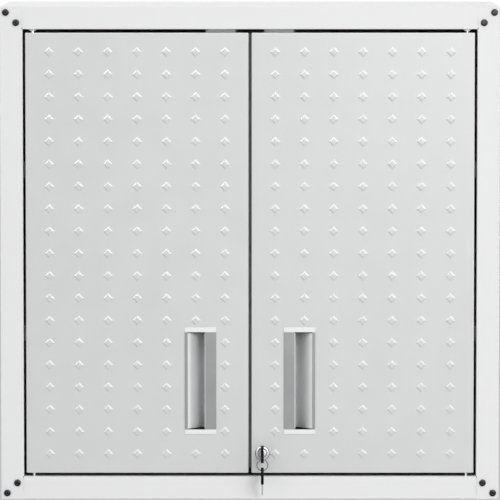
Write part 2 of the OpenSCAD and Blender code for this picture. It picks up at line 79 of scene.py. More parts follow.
MM = 0.001
SIGNS = (-1, 1)
IDENTITY = Matrix.Identity(4)
TO_LEFT = Matrix.Scale(-1, 4, (1, 0, 0))
UPSIDE_DOWN = Matrix.Scale(-1, 4, (0, 0, 1))
TURNED_BACK = Matrix.Rotation(math.pi, 4, "Z")
BOTH_SIDES = (IDENTITY, TO_LEFT)
TOP_AND_BOTTOM = (IDENTITY, UPSIDE_DOWN)
ALL_CORNERS = (IDENTITY, TO_LEFT, UPSIDE_DOWN, TO_LEFT @ UPSIDE_DOWN)
Piece = bpy.types.Object
Tree = bpy.types.NodeTree
Socket = bpy.types.NodeSocket
Item = bmesh.types.BMEdge | bmesh.types.BMFace
Test = Callable[[Vector, Vector], bool]
Path = Sequence[tuple[float, float]]


class Part(Enum):
    """What a test in edit mode picks."""

    EDGE = "EDGE"
    FACE = "FACE"


class Along(Enum):
    """The axis that a round piece turns about."""

    Y = (0, 1, 0)
    Z = (0, 0, 1)


@dataclass(frozen=True)
class Block:
    """A box with its sides along the frame's axes."""

    low: Vector
    high: Vector

    @classmethod
    def of(cls, node: str) -> Block:
        """The box that a CAD node fills."""
        return cls(*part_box(node))

    @classmethod
    def span(cls, x: Sequence[float], y: Sequence[float], z: Sequence[float]) -> Block:
        """The box between two places along each axis, the lower one first."""
        return cls(*(Vector(corner) for corner in zip(x, y, z)))

    @property
    def size(self) -> Vector:
        """The lengths of the box's sides."""
        return self.high - self.low

    @property
    def mid(self) -> Vector:
        """The box's centre."""
        return (self.high + self.low) / 2


# --- Work at the bench: steps that every piece is made with ---


def put_down() -> None:
    """Leaves edit mode and selects nothing."""
    if bpy.context.object and bpy.context.object.mode != "OBJECT":
        bpy.ops.object.mode_set(mode="OBJECT")
    bpy.ops.object.select_all(action="DESELECT")


def take(piece: Piece) -> None:
    """Makes a piece the only selected one and the active one.

    Args:
        piece: The piece to take.
    """
    put_down()
    piece.select_set(True)
    bpy.context.view_layer.objects.active = piece


def made(name: str) -> Piece:
    """Names the piece that was added last, and makes its place, turn and scale part of its mesh.

    Args:
        name: The piece's name.

    Returns:
        The piece.
    """
    piece = bpy.context.object
    piece.name = piece.data.name = name
    bpy.ops.object.transform_apply(location=True, rotation=True, scale=True)
    return piece


def open_mesh(piece: Piece) -> None:
    """Goes into edit mode on a piece, with nothing of its mesh selected.

    Args:
        piece: The piece to work on.
    """
    take(piece)
    bpy.ops.object.mode_set(mode="EDIT")
    bpy.ops.mesh.select_all(action="DESELECT")


def pick_all() -> None:
    """Selects all of the open mesh."""
    bpy.ops.mesh.select_all(action="SELECT")


def even_faces() -> None:
    """Makes the faces of the open mesh look the same way."""
    pick_all()
    bpy.ops.mesh.normals_make_consistent(inside=False)


def pick_items(part: Part, test: Callable[[Item], bool]) -> int:
    """Selects the edges or faces of the open mesh that pass a test, and nothing else.

    Args:
        part: Whether edges or faces are tested.
        test: Takes an edge or a face, and says whether to pick it.

    Returns:
        How many are selected.
    """
    bpy.ops.mesh.select_all(action="DESELECT")
    bpy.ops.mesh.select_mode(type=part.value)
    mesh = bpy.context.edit_object.data
    shape = bmesh.from_edit_mesh(mesh)
    picked = 0
    for item in shape.faces if part is Part.FACE else shape.edges:
        if test(item):
            item.select_set(True)
            picked += 1
    shape.select_flush_mode()
    bmesh.update_edit_mesh(mesh)
    return picked


def middle_and_way(item: Item) -> tuple[Vector, Vector]:
    """Finds where an edge or a face is, and which way it runs or looks.

    Args:
        item: The edge or face.

    Returns:
        An edge's middle and direction, or a face's middle and normal.
    """
    if isinstance(item, bmesh.types.BMFace):
        return item.calc_center_median(), item.normal
    start, end = (corner.co for corner in item.verts)
    return (start + end) / 2, (end - start).normalized()


def pick(part: Part, test: Test) -> int:
    """Selects the edges or faces of the open mesh whose middle and way pass a test, and says how many."""
    return pick_items(part, lambda item: test(*middle_and_way(item)))


def pick_folds(least: float) -> int:
    """Selects the edges whose two faces meet at more than an angle in degrees, and says how many."""
    return pick_items(Part.EDGE, lambda edge: len(edge.link_faces) == 2
                      and math.degrees(edge.calc_face_angle(0)) > least)


def pull(x: float = 0.0, y: float = 0.0, z: float = 0.0) -> None:
    """Extrudes what is selected by a distance along each axis, in metres."""
    bpy.ops.mesh.extrude_region_move(TRANSFORM_OT_translate={"value": (x, y, z)})


def score(faces: Test, at: Vector, across: Vector) -> None:
    """Cuts the faces that pass a test along a plane, and leaves both sides in place.

    Args:
        faces: Which faces are cut.
        at: A point on the plane.
        across: The plane's normal.
    """
    if pick(Part.FACE, faces):
        bpy.ops.mesh.bisect(plane_co=at, plane_no=across)


def waste(faces: Test) -> None:
    """Deletes the faces that pass a test."""
    if pick(Part.FACE, faces):
        bpy.ops.mesh.delete(type="FACE")


def modify(piece: Piece, kind: str, **settings: object) -> None:
    """Adds a modifier to a piece and applies it.

    Args:
        piece: The piece to change.
        kind: The modifier's type, such as "BEVEL".
        **settings: The modifier's properties by name.
    """
    take(piece)
    modifier = piece.modifiers.new(kind.lower(), kind)
    for name, value in settings.items():
        setattr(modifier, name, value)
    bpy.ops.object.modifier_apply(modifier=modifier.name)


def soften(piece: Piece, width: float, segments: int = 2, angle: float = 40.0) -> None:
    """Rounds a piece's edges.

    Args:
        piece: The piece to change.
        width: The rounding's width in metres.
        segments: How many faces each rounding has.
        angle: The least angle between two faces, in degrees, that is rounded.
    """
    modify(piece, "BEVEL", width=width, segments=segments, limit_method="ANGLE",
           angle_limit=math.radians(angle), miter_outer="MITER_ARC")


def face_outwards(piece: Piece) -> None:
    """Turns a closed piece's faces outwards if they look inwards.

    Args:
        piece: The piece to put right.
    """
    shape = bmesh.new()
    shape.from_mesh(piece.data)
    inside_out = shape.calc_volume(signed=True) < 0
    shape.free()
    if inside_out:
        open_mesh(piece)
        pick_all()
        bpy.ops.mesh.flip_normals()
        put_down()


def draw(name: str, points: Sequence[Vector], closed: bool = False) -> Piece:
    """Draws a line from point to point, one extruded vertex at a time.

    Args:
        name: The new piece's name.
        points: The line's corners.
        closed: Whether the last point joins the first, and the outline is filled.

    Returns:
        The new piece, with its mesh open and all of it selected.
    """
    put_down()
    bpy.ops.mesh.primitive_plane_add(size=MM, location=(0, 0, 0))
    piece = bpy.context.object
    piece.name = piece.data.name = name
    bpy.ops.object.mode_set(mode="EDIT")
    bpy.ops.mesh.select_mode(type="VERT")
    pick_all()
    bpy.ops.mesh.merge(type="CENTER")
    bpy.ops.transform.translate(value=points[0])
    for start, end in zip(points, points[1:]):
        bpy.ops.mesh.extrude_region_move(TRANSFORM_OT_translate={"value": end - start})
    pick_all()
    if closed:
        bpy.ops.mesh.edge_face_add()
    return piece


def close(piece: Piece) -> None:
    """Merges a piece's doubled vertices, turns all its faces outwards, and puts it down.

    Args:
        piece: The piece to close.
    """
    open_mesh(piece)
    pick_all()
    bpy.ops.mesh.remove_doubles(threshold=0.001 * MM)
    bpy.ops.mesh.normals_make_consistent(inside=False)
    put_down()
    face_outwards(piece)


def turned(name: str, profile: Path, centre: Vector, along: Along, steps: int = 48) -> Piece:
    """Turns a round piece on a lathe.

    Args:
        name: The new piece's name.
        profile: Pairs of radius and place along the axis. A profile that starts and ends on the axis is
            solid, and one that ends where it starts is a ring.
        centre: A point on the axis, from which the places along it count.
        along: The axis.
        steps: How many faces go round.

    Returns:
        The closed piece.
    """
    axis = Vector(along.value)
    piece = draw(name, [centre + Vector((radius, 0, 0)) + axis * place for radius, place in profile])
    bpy.ops.mesh.spin(steps=steps, angle=math.tau, center=centre, axis=axis)
    close(piece)
    return piece


def plate(name: str, block: Block, rounding: float = 0.0, segments: int = 2) -> Piece:
    """Cuts a flat plate or a block, with its edges rounded.

    Args:
        name: The new piece's name.
        block: The box that it fills.
        rounding: The width of its edges' rounding, in metres.
        segments: How many faces each rounding has.

    Returns:
        The new piece.
    """
    put_down()
    bpy.ops.mesh.primitive_cube_add(size=1, location=block.mid, scale=block.size)
    piece = made(name)
    if rounding:
        soften(piece, rounding, segments)
    return piece


def rod(name: str, centre: Vector, radius: float, length: float, along: Along,
        steps: int = 48) -> Piece:
    """Makes a bar of round or regular section, to cut with or to cut from.

    Args:
        name: The new piece's name.
        centre: Its middle.
        radius: Its radius, out to its corners.
        length: Its length.
        along: Its axis.
        steps: How many faces go round.

    Returns:
        The new piece.
    """
    put_down()
    turn = (math.pi / 2, 0, 0) if along is Along.Y else (0, 0, 0)
    bpy.ops.mesh.primitive_cylinder_add(
        vertices=steps, radius=radius, depth=length, location=centre, rotation=turn)
    return made(name)


def folded(name: str, path: Sequence[Vector], length: Vector, inside: Vector, thick: float, bend: float,
           trim: Callable[[], None] | None = None) -> Piece:
    """Folds a sheet: draws its outer side's section, pulls it to length, rounds the folds and thickens it.

    Args:
        name: The new piece's name.
        path: The section of the sheet's outer side.
        length: How far and which way the section is pulled.
        inside: A point on the inner side of the first fold's faces, towards which the sheet thickens.
        thick: The sheet's thickness.
        bend: The outer radius of the folds.
        trim: Cuts the sheet to shape before it is bent and thickened, in edit mode.

    Returns:
        The finished sheet.
    """
    piece = draw(name, path)
    bpy.ops.mesh.select_mode(type="EDGE")
    pick_all()
    pull(*length)
    even_faces()
    facing_in = sum(face.calc_area() * (inside - face.calc_center_median()).dot(face.normal)
                    for face in bmesh.from_edit_mesh(piece.data).faces)
    if facing_in > 0:
        pick_all()
        bpy.ops.mesh.flip_normals()
    if trim:
        trim()
    return thicken(piece, thick, bend)


def thicken(piece: Piece, thick: float, bend: float) -> Piece:
    """Rounds the folds of an open sheet, gives it a thickness inwards, and breaks its cut edges.

    Args:
        piece: The sheet, as the surface of its outer side.
        thick: The sheet's thickness.
        bend: The outer radius of its folds.

    Returns:
        The same piece.
    """
    open_mesh(piece)
    if pick_folds(60.0):
        bpy.ops.mesh.bevel(offset=bend, segments=4, affect="EDGES")
    put_down()
    modify(piece, "SOLIDIFY", thickness=thick, offset=-1.0, use_even_offset=True)
    soften(piece, 0.12 * MM, 2, 70.0)
    return piece


def combine(piece: Piece, other: Piece, operation: str) -> None:
    """Joins, cuts or trims a piece with another one, and throws the other one away.

    Args:
        piece: The piece that is kept.
        other: The piece that is used up.
        operation: "DIFFERENCE", "INTERSECT" or "UNION".
    """
    modify(piece, "BOOLEAN", operation=operation, solver="EXACT", object=other)
    bpy.data.objects.remove(other)


def cut_away(piece: Piece, cutters: Iterable[Piece]) -> None:
    """Takes the shapes of some cutters out of a piece, and throws the cutters away."""
    for cutter in cutters:
        combine(piece, cutter, "DIFFERENCE")


def copy_of(piece: Piece, name: str, place: Matrix) -> Piece:
    """Copies a piece with its own mesh, which is moved or mirrored.

    Args:
        piece: The piece to copy, which is kept.
        name: The copy's name.
        place: Where the copy goes, counted from where the piece is.

    Returns:
        The copy.
    """
    copy = piece.copy()
    copy.data = piece.data.copy()
    copy.data.transform(place)
    copy.name = copy.data.name = name
    bpy.context.scene.collection.objects.link(copy)
    face_outwards(copy)
    return copy


def left_name(name: str) -> str:
    """The name of what stands on the left opposite something named right."""
    return name.replace("right_", "left_", 1)


def mirrored(piece: Piece) -> Piece:
    """Copies a piece from the right side of the cabinet to the left."""
    return copy_of(piece, left_name(piece.name), TO_LEFT)


def copied(piece: Piece, places: Iterable[Matrix]) -> Piece:
    """Copies a piece to some places, and joins the copies in its stead.

    Args:
        piece: The piece to copy. It is used up.
        places: Where each copy goes, counted from where the piece is.

    Returns:
        The joined piece.
    """
    name = piece.name
    copies = [copy_of(piece, f"{name}_copy", place) for place in places]
    bpy.data.objects.remove(piece)
    return joined(name, copies)


def joined(name: str, pieces: Sequence[Piece]) -> Piece:
    """Joins some pieces into one under a name.

    Args:
        name: The joined piece's name.
        pieces: The pieces, which are used up.

    Returns:
        The joined piece.
    """
    put_down()
    for piece in pieces:
        piece.select_set(True)
    bpy.context.view_layer.objects.active = pieces[0]
    if len(pieces) > 1:
        bpy.ops.object.join()
    whole = bpy.context.object
    whole.name = whole.data.name = name
    return whole


def refined(node: str, rounding: float, segments: int = 2) -> Piece:
    """Copies a CAD node, makes clean faces of its triangles and breaks its edges.

    Args:
        node: The CAD node's name.
        rounding: The width of its edges' rounding, in metres.
        segments: How many faces each rounding has.

    Returns:
        The new piece.
    """
    source = bpy.data.objects[node]
    piece = source.copy()
    piece.data = source.data.copy()
    piece.parent = None
    for mark in list(piece.keys()):
        del piece[mark]
    piece.name = piece.data.name = f"{node}_detail"
    bpy.context.scene.collection.objects.link(piece)
    open_mesh(piece)
    pick_all()
    bpy.ops.mesh.remove_doubles(threshold=0.002 * MM)
    bpy.ops.mesh.dissolve_limited(angle_limit=math.radians(1.0))
    put_down()
    soften(piece, rounding, segments)
    return piece


def shift(x: float = 0.0, y: float = 0.0, z: float = 0.0) -> Matrix:
    """A move by a distance along each axis."""
    return Matrix.Translation((x, y, z))


# --- Finishes ---


class Shader:
    """A material under construction, with its Principled shader and a chain of bumps."""

    def __init__(self, name: str, colour: Sequence[float], roughness: float, metallic: float = 0.0,
                 specular: float = 0.5) -> None:
        """Starts a material.

        Args:
            name: The material's name.
            colour: Its base colour, linear.
            roughness: Its roughness before any variation.
            metallic: 1 for bare metal, 0 for anything else.
            specular: The specular level.
        """
        self.material = bpy.data.materials.new(name)
        self.material.use_nodes = True
        self.tree = self.material.node_tree
        self.shader = self.tree.nodes["Principled BSDF"]
        self.roughness = roughness
        self.colour = (*colour, 1.0)
        self.shader.inputs["Base Color"].default_value = self.colour
        self.shader.inputs["Roughness"].default_value = roughness
        self.shader.inputs["Metallic"].default_value = metallic
        self.shader.inputs["Specular IOR Level"].default_value = specular
        self.bump: bpy.types.Node | None = None

    def effect(self, group: Tree, **values: float) -> bpy.types.Node:
        """Places a shared effect in the material.

        Args:
            group: The effect.
            **values: The effect's inputs, with underscores for spaces.

        Returns:
            The effect's node.
        """
        node = self.tree.nodes.new("ShaderNodeGroup")
        node.node_tree = group
        for name, value in values.items():
            node.inputs[name.replace("_", " ")].default_value = value
        return node

    def raise_by(self, height: Socket, distance: float, strength: float = 1.0) -> None:
        """Adds a bump to the surface.

        Args:
            height: The bump's height, from 0 to 1.
            distance: How high 1 is, in metres.
            strength: The share of the bump that is used.
        """
        bump = self.tree.nodes.new("ShaderNodeBump")
        bump.inputs["Distance"].default_value = distance
        bump.inputs["Strength"].default_value = strength
        self.tree.links.new(height, bump.inputs["Height"])
        if self.bump:
            self.tree.links.new(self.bump.outputs["Normal"], bump.inputs["Normal"])
        self.tree.links.new(bump.outputs["Normal"], self.shader.inputs["Normal"])
        self.bump = bump

    def vary(self, socket: str, mask: Socket, low: float, high: float) -> None:
        """Spreads one of the shader's values between two limits.

        Args:
            socket: The shader's socket.
            mask: What the value follows, from 0 to 1.
            low: The value at 0.
            high: The value at 1.
        """
        span = self.tree.nodes.new("ShaderNodeMapRange")
        span.inputs["To Min"].default_value = low
        span.inputs["To Max"].default_value = high
        self.tree.links.new(mask, span.inputs["Value"])
        self.tree.links.new(span.outputs["Result"], self.shader.inputs[socket])

    def tint(self, mask: Socket, colour: Sequence[float]) -> None:
        """Blends the base colour towards another one.

        Args:
            mask: The share of the other colour.
            colour: The other colour, linear.
        """
        mix = self.tree.nodes.new("ShaderNodeMix")
        mix.data_type = "RGBA"
        base = self.shader.inputs["Base Color"]
        if base.links:
            self.tree.links.new(base.links[0].from_socket, mix.inputs["A"])
        mix.inputs["A"].default_value = self.colour
        mix.inputs["B"].default_value = (*colour, 1.0)
        self.tree.links.new(mask, mix.inputs["Factor"])
        self.tree.links.new(mix.outputs["Result"], base)


def new_group(name: str, inputs: dict[str, float], outputs: Sequence[str]
              ) -> tuple[Tree, bpy.types.Node, bpy.types.Node]:
    """Starts a shared effect.

    Args:
        name: The effect's name.
        inputs: Its inputs with their default values.
        outputs: Its outputs, which are all values.

    Returns:
        The effect's tree, its input node and its output node.
    """
    tree = bpy.data.node_groups.new(name, "ShaderNodeTree")
    for socket, value in inputs.items():
        made = tree.interface.new_socket(socket, in_out="INPUT", socket_type="NodeSocketFloat")
        made.default_value = value
    for socket in outputs:
        tree.interface.new_socket(socket, in_out="OUTPUT", socket_type="NodeSocketFloat")
    return tree, tree.nodes.new("NodeGroupInput"), tree.nodes.new("NodeGroupOutput")


def feed(tree: Tree, socket: Socket, value: float | Socket) -> None:
    """Gives a node's input a number or a link.

    Args:
        tree: The effect's tree.
        socket: The input.
        value: The number, or the output that is linked to it.
    """
    if isinstance(value, Socket):
        tree.links.new(value, socket)
    else:
        socket.default_value = value


def own_place(tree: Tree) -> Socket:
    """Where a spot of the surface is in its piece's own frame."""
    return tree.nodes.new("ShaderNodeTexCoord").outputs["Object"]


def own_normal(tree: Tree) -> Socket:
    """Which way a spot of the surface looks."""
    return tree.nodes.new("ShaderNodeNewGeometry").outputs["Normal"]


def product(tree: Tree, first: Socket,
            second: float | Socket) -> Socket:
    """Multiplies two values in an effect.

    Args:
        tree: The effect's tree.
        first: A value.
        second: What it is multiplied by, as a number or a socket.

    Returns:
        Their product.
    """
    times = tree.nodes.new("ShaderNodeMath")
    times.operation = "MULTIPLY"
    feed(tree, times.inputs[0], first)
    feed(tree, times.inputs[1], second)
    return times.outputs[0]


def noise_node(tree: Tree, scale: float | Socket, detail: float,
               place: Socket | None = None) -> Socket:
    """Adds a noise to an effect.

    Args:
        tree: The effect's tree.
        scale: Its scale in waves to the metre, as a number or a socket.
        detail: How many finer layers it has.
        place: Where the noise is read, if not at the surface's own place.

    Returns:
        The noise's value, about 0.5 on average.
    """
    noise = tree.nodes.new("ShaderNodeTexNoise")
    noise.inputs["Detail"].default_value = detail
    tree.links.new(place or own_place(tree), noise.inputs["Vector"])
    feed(tree, noise.inputs["Scale"], scale)
    return noise.outputs["Fac"]


def clamp_node(tree: Tree, value: Socket, low: float, high: float,
               top: float | Socket = 1.0) -> Socket:
    """Stretches the part of a value between two limits to 0 and a top value.

    Args:
        tree: The effect's tree.
        value: The value to stretch.
        low: What becomes 0.
        high: What becomes the top value.
        top: The top value, as a number or a socket.

    Returns:
        The stretched value.
    """
    span = tree.nodes.new("ShaderNodeMapRange")
    span.inputs["From Min"].default_value = low
    span.inputs["From Max"].default_value = high
    feed(tree, span.inputs["To Max"], top)
    tree.links.new(value, span.inputs["Value"])
    return span.outputs["Result"]


class Effects:
    """The effects that the finishes share, each made once."""

    def __init__(self) -> None:
        """Makes every effect."""
        self.peel = self._peel()
        self.cloud = self._cloud()
        self.streaks = self._streaks()
        self.dust = self._dust()
        self.scuff_and_highlight = self._scuff_and_highlight()

    def _peel(self) -> Tree:
        """Makes the fine waves of a baked powder coat: a coarse wave with a finer one over it.

        Returns:
            The effect, which gives a height.
        """
        finer, finer_share = 3.7, 0.35
        tree, given, result = new_group("powder_coat_peel", {"Scale": 260.0}, ["Height"])
        coarse = noise_node(tree, given.outputs["Scale"], 1.0)
        fine = noise_node(tree, product(tree, given.outputs["Scale"], finer), 2.0)
        blend = tree.nodes.new("ShaderNodeMix")
        blend.inputs["Factor"].default_value = finer_share
        tree.links.new(coarse, blend.inputs["A"])
        tree.links.new(fine, blend.inputs["B"])
        tree.links.new(blend.outputs["Result"], result.inputs["Height"])
        return tree

    def _cloud(self) -> Tree:
        """Makes slow, soft patches.

        Returns:
            The effect, which gives a mask.
        """
        tree, given, result = new_group("soft_patches", {"Scale": 6.0, "Amount": 1.0}, ["Mask"])
        value = noise_node(tree, given.outputs["Scale"], 3.0)
        patches = clamp_node(tree, value, 0.35, 0.65, given.outputs["Amount"])
        tree.links.new(patches, result.inputs["Mask"])
        return tree

    def _streaks(self) -> Tree:
        """Makes the lines that a die or a brush draws out along Z.

        Returns:
            The effect, which gives a height and a mask.
        """
        tree, given, result = new_group("drawn_streaks", {"Across": 1500.0, "Length": 0.02},
                                        ["Height", "Mask"])
        stretch = tree.nodes.new("ShaderNodeCombineXYZ")
        stretch.inputs["X"].default_value = 1.0
        stretch.inputs["Y"].default_value = 1.0
        tree.links.new(given.outputs["Length"], stretch.inputs["Z"])
        scaled = tree.nodes.new("ShaderNodeVectorMath")
        scaled.operation = "MULTIPLY"
        tree.links.new(own_place(tree), scaled.inputs[0])
        tree.links.new(stretch.outputs["Vector"], scaled.inputs[1])
        value = noise_node(tree, given.outputs["Across"], 3.0, scaled.outputs["Vector"])
        tree.links.new(value, result.inputs["Height"])
        tree.links.new(clamp_node(tree, value, 0.3, 0.7), result.inputs["Mask"])
        return tree

    def _dust(self) -> Tree:
        """Makes the dust that settles on faces that look up.

        Returns:
            The effect, which gives a mask.
        """
        tilted, level, speckle = 0.55, 1.0, 160.0
        tree, given, result = new_group("settled_dust", {"Amount": 0.2}, ["Mask"])
        parts = tree.nodes.new("ShaderNodeSeparateXYZ")
        tree.links.new(own_normal(tree), parts.inputs["Vector"])
        up = clamp_node(tree, parts.outputs["Z"], tilted, level, given.outputs["Amount"])
        patches = clamp_node(tree, noise_node(tree, speckle, 5.0), 0.35, 0.75)
        tree.links.new(product(tree, up, patches), result.inputs["Mask"])
        return tree

    def _scuff_and_highlight(self) -> Tree:
        """Makes the pale edges of a metal piece, where the rounded normal turns from the true one: partly
        scuffed metal, partly a painted highlight.

        Returns:
            The effect, which gives a mask.
        """
        unturned, turned_away, scuffs = 0.995, 0.9, 400.0
        tree, given, result = new_group("rubbed_edges", {"Width": 0.0006, "Amount": 0.6}, ["Mask"])
        bevel = tree.nodes.new("ShaderNodeBevel")
        bevel.samples = 4
        tree.links.new(given.outputs["Width"], bevel.inputs["Radius"])
        turn = tree.nodes.new("ShaderNodeVectorMath")
        turn.operation = "DOT_PRODUCT"
        tree.links.new(bevel.outputs["Normal"], turn.inputs[0])
        tree.links.new(own_normal(tree), turn.inputs[1])
        edge = clamp_node(tree, turn.outputs["Value"], unturned, turned_away, given.outputs["Amount"])
        broken = clamp_node(tree, noise_node(tree, scuffs, 3.0), 0.35, 0.6)
        tree.links.new(product(tree, edge, broken), result.inputs["Mask"])
        return tree


@dataclass(frozen=True)
class PowderCoat:
    """Baked white paint on sheet steel."""

    name: str
    colour: tuple[float, float, float]
    shade: tuple[float, float, float]
    roughness: float
    specular: float
    peel_height: float = 0.012 * MM
    peel_scale: float = 320.0
    patch_scale: float = 5.0
    smudge_scale: float = 18.0
    dust: float = 0.08
    dust_colour: tuple[float, float, float] = (0.60, 0.58, 0.54)
    slot: str = ""

    def build(self, effects: Effects) -> bpy.types.Material:
        """Makes the material.

        Args:
            effects: The effects that the finishes share.

        Returns:
            The material.
        """
        coat = Shader(self.name, self.colour, self.roughness, specular=self.specular)
        patches = coat.effect(effects.cloud, Scale=self.patch_scale, Amount=0.5)
        coat.tint(patches.outputs["Mask"], self.shade)
        settled = coat.effect(effects.dust, Amount=self.dust)
        coat.tint(settled.outputs["Mask"], self.dust_colour)
        smudges = coat.effect(effects.cloud, Scale=self.smudge_scale, Amount=1.0)
        coat.vary("Roughness", smudges.outputs["Mask"], self.roughness - 0.03, self.roughness + 0.04)
        peel = coat.effect(effects.peel, Scale=self.peel_scale)
        coat.raise_by(peel.outputs["Height"], self.peel_height)
        return coat.material


@dataclass(frozen=True)
class DrawnMetal:
    """Bare or plated metal with lines along its length."""

    name: str
    colour: tuple[float, float, float]
    # Colour of the pale edges: partly scuffed metal, partly a painted highlight.
    bright: tuple[float, float, float]
    roughness: float
    across: float = 1500.0
    line_height: float = 0.006 * MM
    scuff_and_highlight: float = 0.5
    metallic: float = 1.0
    line_stretch: float = 0.02
    scuff_and_highlight_width: float = 0.6 * MM
    patch_scale: float = 30.0
    dull: float = 0.82
    slot: str = ""

    def build(self, effects: Effects) -> bpy.types.Material:
        """Makes the material.

        Args:
            effects: The effects that the finishes share.

        Returns:
            The material.
        """
        metal = Shader(self.name, self.colour, self.roughness, metallic=self.metallic)
        lines = metal.effect(effects.streaks, Across=self.across, Length=self.line_stretch)
        patches = metal.effect(effects.cloud, Scale=self.patch_scale, Amount=0.35)
        metal.tint(patches.outputs["Mask"], tuple(self.dull * c for c in self.colour))
        # Pale edges: partly scuffed metal, partly a painted highlight.
        scuffed_and_highlit = metal.effect(effects.scuff_and_highlight, Width=self.scuff_and_highlight_width, Amount=self.scuff_and_highlight)
        metal.tint(scuffed_and_highlit.outputs["Mask"], self.bright)
        metal.vary("Roughness", lines.outputs["Mask"], self.roughness - 0.06, self.roughness + 0.08)
        metal.raise_by(lines.outputs["Height"], self.line_height)
        return metal.material


@dataclass(frozen=True)
class MouldedPlastic:
    """Moulded plastic with a fine spark-eroded grain."""

    name: str
    colour: tuple[float, float, float]
    pale: tuple[float, float, float]
    roughness: float
    grain_height: float = 0.01 * MM
    grain_scale: float = 2600.0
    patch_scale: float = 60.0
    dust: float = 0.15
    dust_colour: tuple[float, float, float] = (0.55, 0.54, 0.52)
    specular: float = 0.45

    def build(self, effects: Effects) -> bpy.types.Material:
        """Makes the material.

        Args:
            effects: The effects that the finishes share.

        Returns:
            The material.
        """
        plastic = Shader(self.name, self.colour, self.roughness, specular=self.specular)
        patches = plastic.effect(effects.cloud, Scale=self.patch_scale, Amount=0.4)
        plastic.tint(patches.outputs["Mask"], self.pale)
        settled = plastic.effect(effects.dust, Amount=self.dust)
        plastic.tint(settled.outputs["Mask"], self.dust_colour)
        plastic.vary("Roughness", patches.outputs["Mask"], self.roughness - 0.05, self.roughness + 0.06)
        grain = plastic.effect(effects.peel, Scale=self.grain_scale)
        plastic.raise_by(grain.outputs["Height"], self.grain_height)
        return plastic.material


class Finish(Enum):
    """Every finish on the cabinet, by the record's material slot."""

    CASE = PowderCoat("case_paint", (0.86, 0.863, 0.863), (0.85, 0.853, 0.855), 0.6, 0.15)
    DOOR = PowderCoat("door_paint", (0.68, 0.683, 0.685), (0.67, 0.673, 0.676), 0.36, 0.5)
    # The gap strip wears the door paint darkened: painted shade for the narrow gap between the doors.
    STRIP = PowderCoat("strip_paint", (0.36, 0.362, 0.364), (0.34, 0.342, 0.344), 0.45, 0.3,
                       slot="door_paint")
    SHELF = PowderCoat("shelf_paint", (0.76, 0.76, 0.75), (0.73, 0.73, 0.72), 0.45, 0.4)
    ZINC = DrawnMetal("zinc", (0.62, 0.63, 0.65), (0.9, 0.9, 0.9), 0.34, 900.0)
    BLACK_STEEL = DrawnMetal("black_steel", (0.022, 0.022, 0.024), (0.20, 0.20, 0.205), 0.36, 2500.0)
    ALUMINIUM = DrawnMetal("aluminium", (0.64, 0.643, 0.647), (0.86, 0.86, 0.87), 0.60, 1500.0, metallic=0.15)
    # A darker copy of the aluminium for the trim bars: painted shade for the dark reflection on their flat
    # faces.
    BRUSHED = DrawnMetal("brushed_trim", (0.25, 0.252, 0.255), (0.70, 0.70, 0.71), 0.40, 1800.0, metallic=0.4,
                         slot="aluminium")
    WHITE_PLASTIC = MouldedPlastic("white_plastic", (0.88, 0.88, 0.88), (0.86, 0.86, 0.86), 0.45)
    BLACK_PLASTIC = MouldedPlastic("black_plastic", (0.003, 0.003, 0.0035), (0.006, 0.006, 0.007), 0.55,
                                   dust=0.01, specular=0.05)
    NYLON = MouldedPlastic("nylon", (0.78, 0.78, 0.74), (0.72, 0.72, 0.68), 0.5)
    MAGNET = DrawnMetal("magnet", (0.16, 0.16, 0.17), (0.4, 0.4, 0.4), 0.45, 3000.0)
    CHROME = DrawnMetal("lock_chrome", (0.52, 0.52, 0.53), (0.72, 0.72, 0.72), 0.34, 2200.0, 0.002 * MM, 0.3)
    KEY_STEEL = DrawnMetal("key_steel", (0.55, 0.55, 0.54), (0.85, 0.85, 0.83), 0.30, 2000.0)
    RING_STEEL = DrawnMetal("ring_steel", (0.14, 0.14, 0.145), (0.40, 0.40, 0.40), 0.34, 2000.0,
                            slot="key_steel")

    @property
    def slot(self) -> str:
        """The record's slot that the finish belongs to."""
        return getattr(self.value, "slot", "") or self.value.name


class Finishes:
    """The cabinet's materials, each made once."""

    def __init__(self) -> None:
        """Makes every material."""
        effects = Effects()
        self.made = {finish: finish.value.build(effects) for finish in Finish}

    def by_slot(self, slot: str) -> bpy.types.Material:
        """The material of one of the record's slots."""
        return next(self.made[finish] for finish in Finish if finish.slot == slot)

    def dress_frame(self, frame: dict) -> None:
        """Gives every CAD node the material of its slot.

        Args:
            frame: The loaded frame, with its record and its nodes.
        """
        for row in frame["record"]["subparts"]:
            mesh = frame["nodes"][row["node"]].data
            mesh.materials.clear()
            mesh.materials.append(self.by_slot(row["material_slot"]))


@dataclass
class Assembly:
    """A group of pieces that are made and mounted together."""

    finishes: Finishes

    def mount(self, piece: Piece, finish: Finish, body: str, *nodes: str) -> None:
        """Dresses a finished piece and mounts it on a body in the stead of its CAD nodes.

        Args:
            piece: The piece.
            finish: Its finish.
            body: The CAD body that it rides on.
            *nodes: The CAD nodes that it stands for.
        """
        take(piece)
        bpy.ops.object.shade_smooth_by_angle(angle=math.radians(35))
        modify(piece, "WEIGHTED_NORMAL", mode="FACE_AREA", keep_sharp=True)
        piece.data.materials.clear()
        piece.data.materials.append(self.finishes.made[finish])
        finish.slot
        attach(piece, body)
        if nodes:
            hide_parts(*nodes)
        put_down()
        log.info("%s: %d faces, on %s", piece.name, len(piece.data.polygons), body)

    def mount_both(self, piece: Piece, finish: Finish, body: str, *nodes: str) -> None:
        """Mounts a piece of the cabinet's right side, and its mirror image on the left.

        Args:
            piece: The right piece.
            finish: Their finish.
            body: The CAD body that the right one rides on.
            *nodes: The CAD nodes that the right one stands for.
        """
        self.mount(mirrored(piece), finish, left_name(body), *map(left_name, nodes))
        self.mount(piece, finish, body, *nodes)


def near(a: float, b: float) -> bool:
    """Whether two places are the same within a hundredth of a millimetre."""
    return abs(a - b) < 0.01 * MM


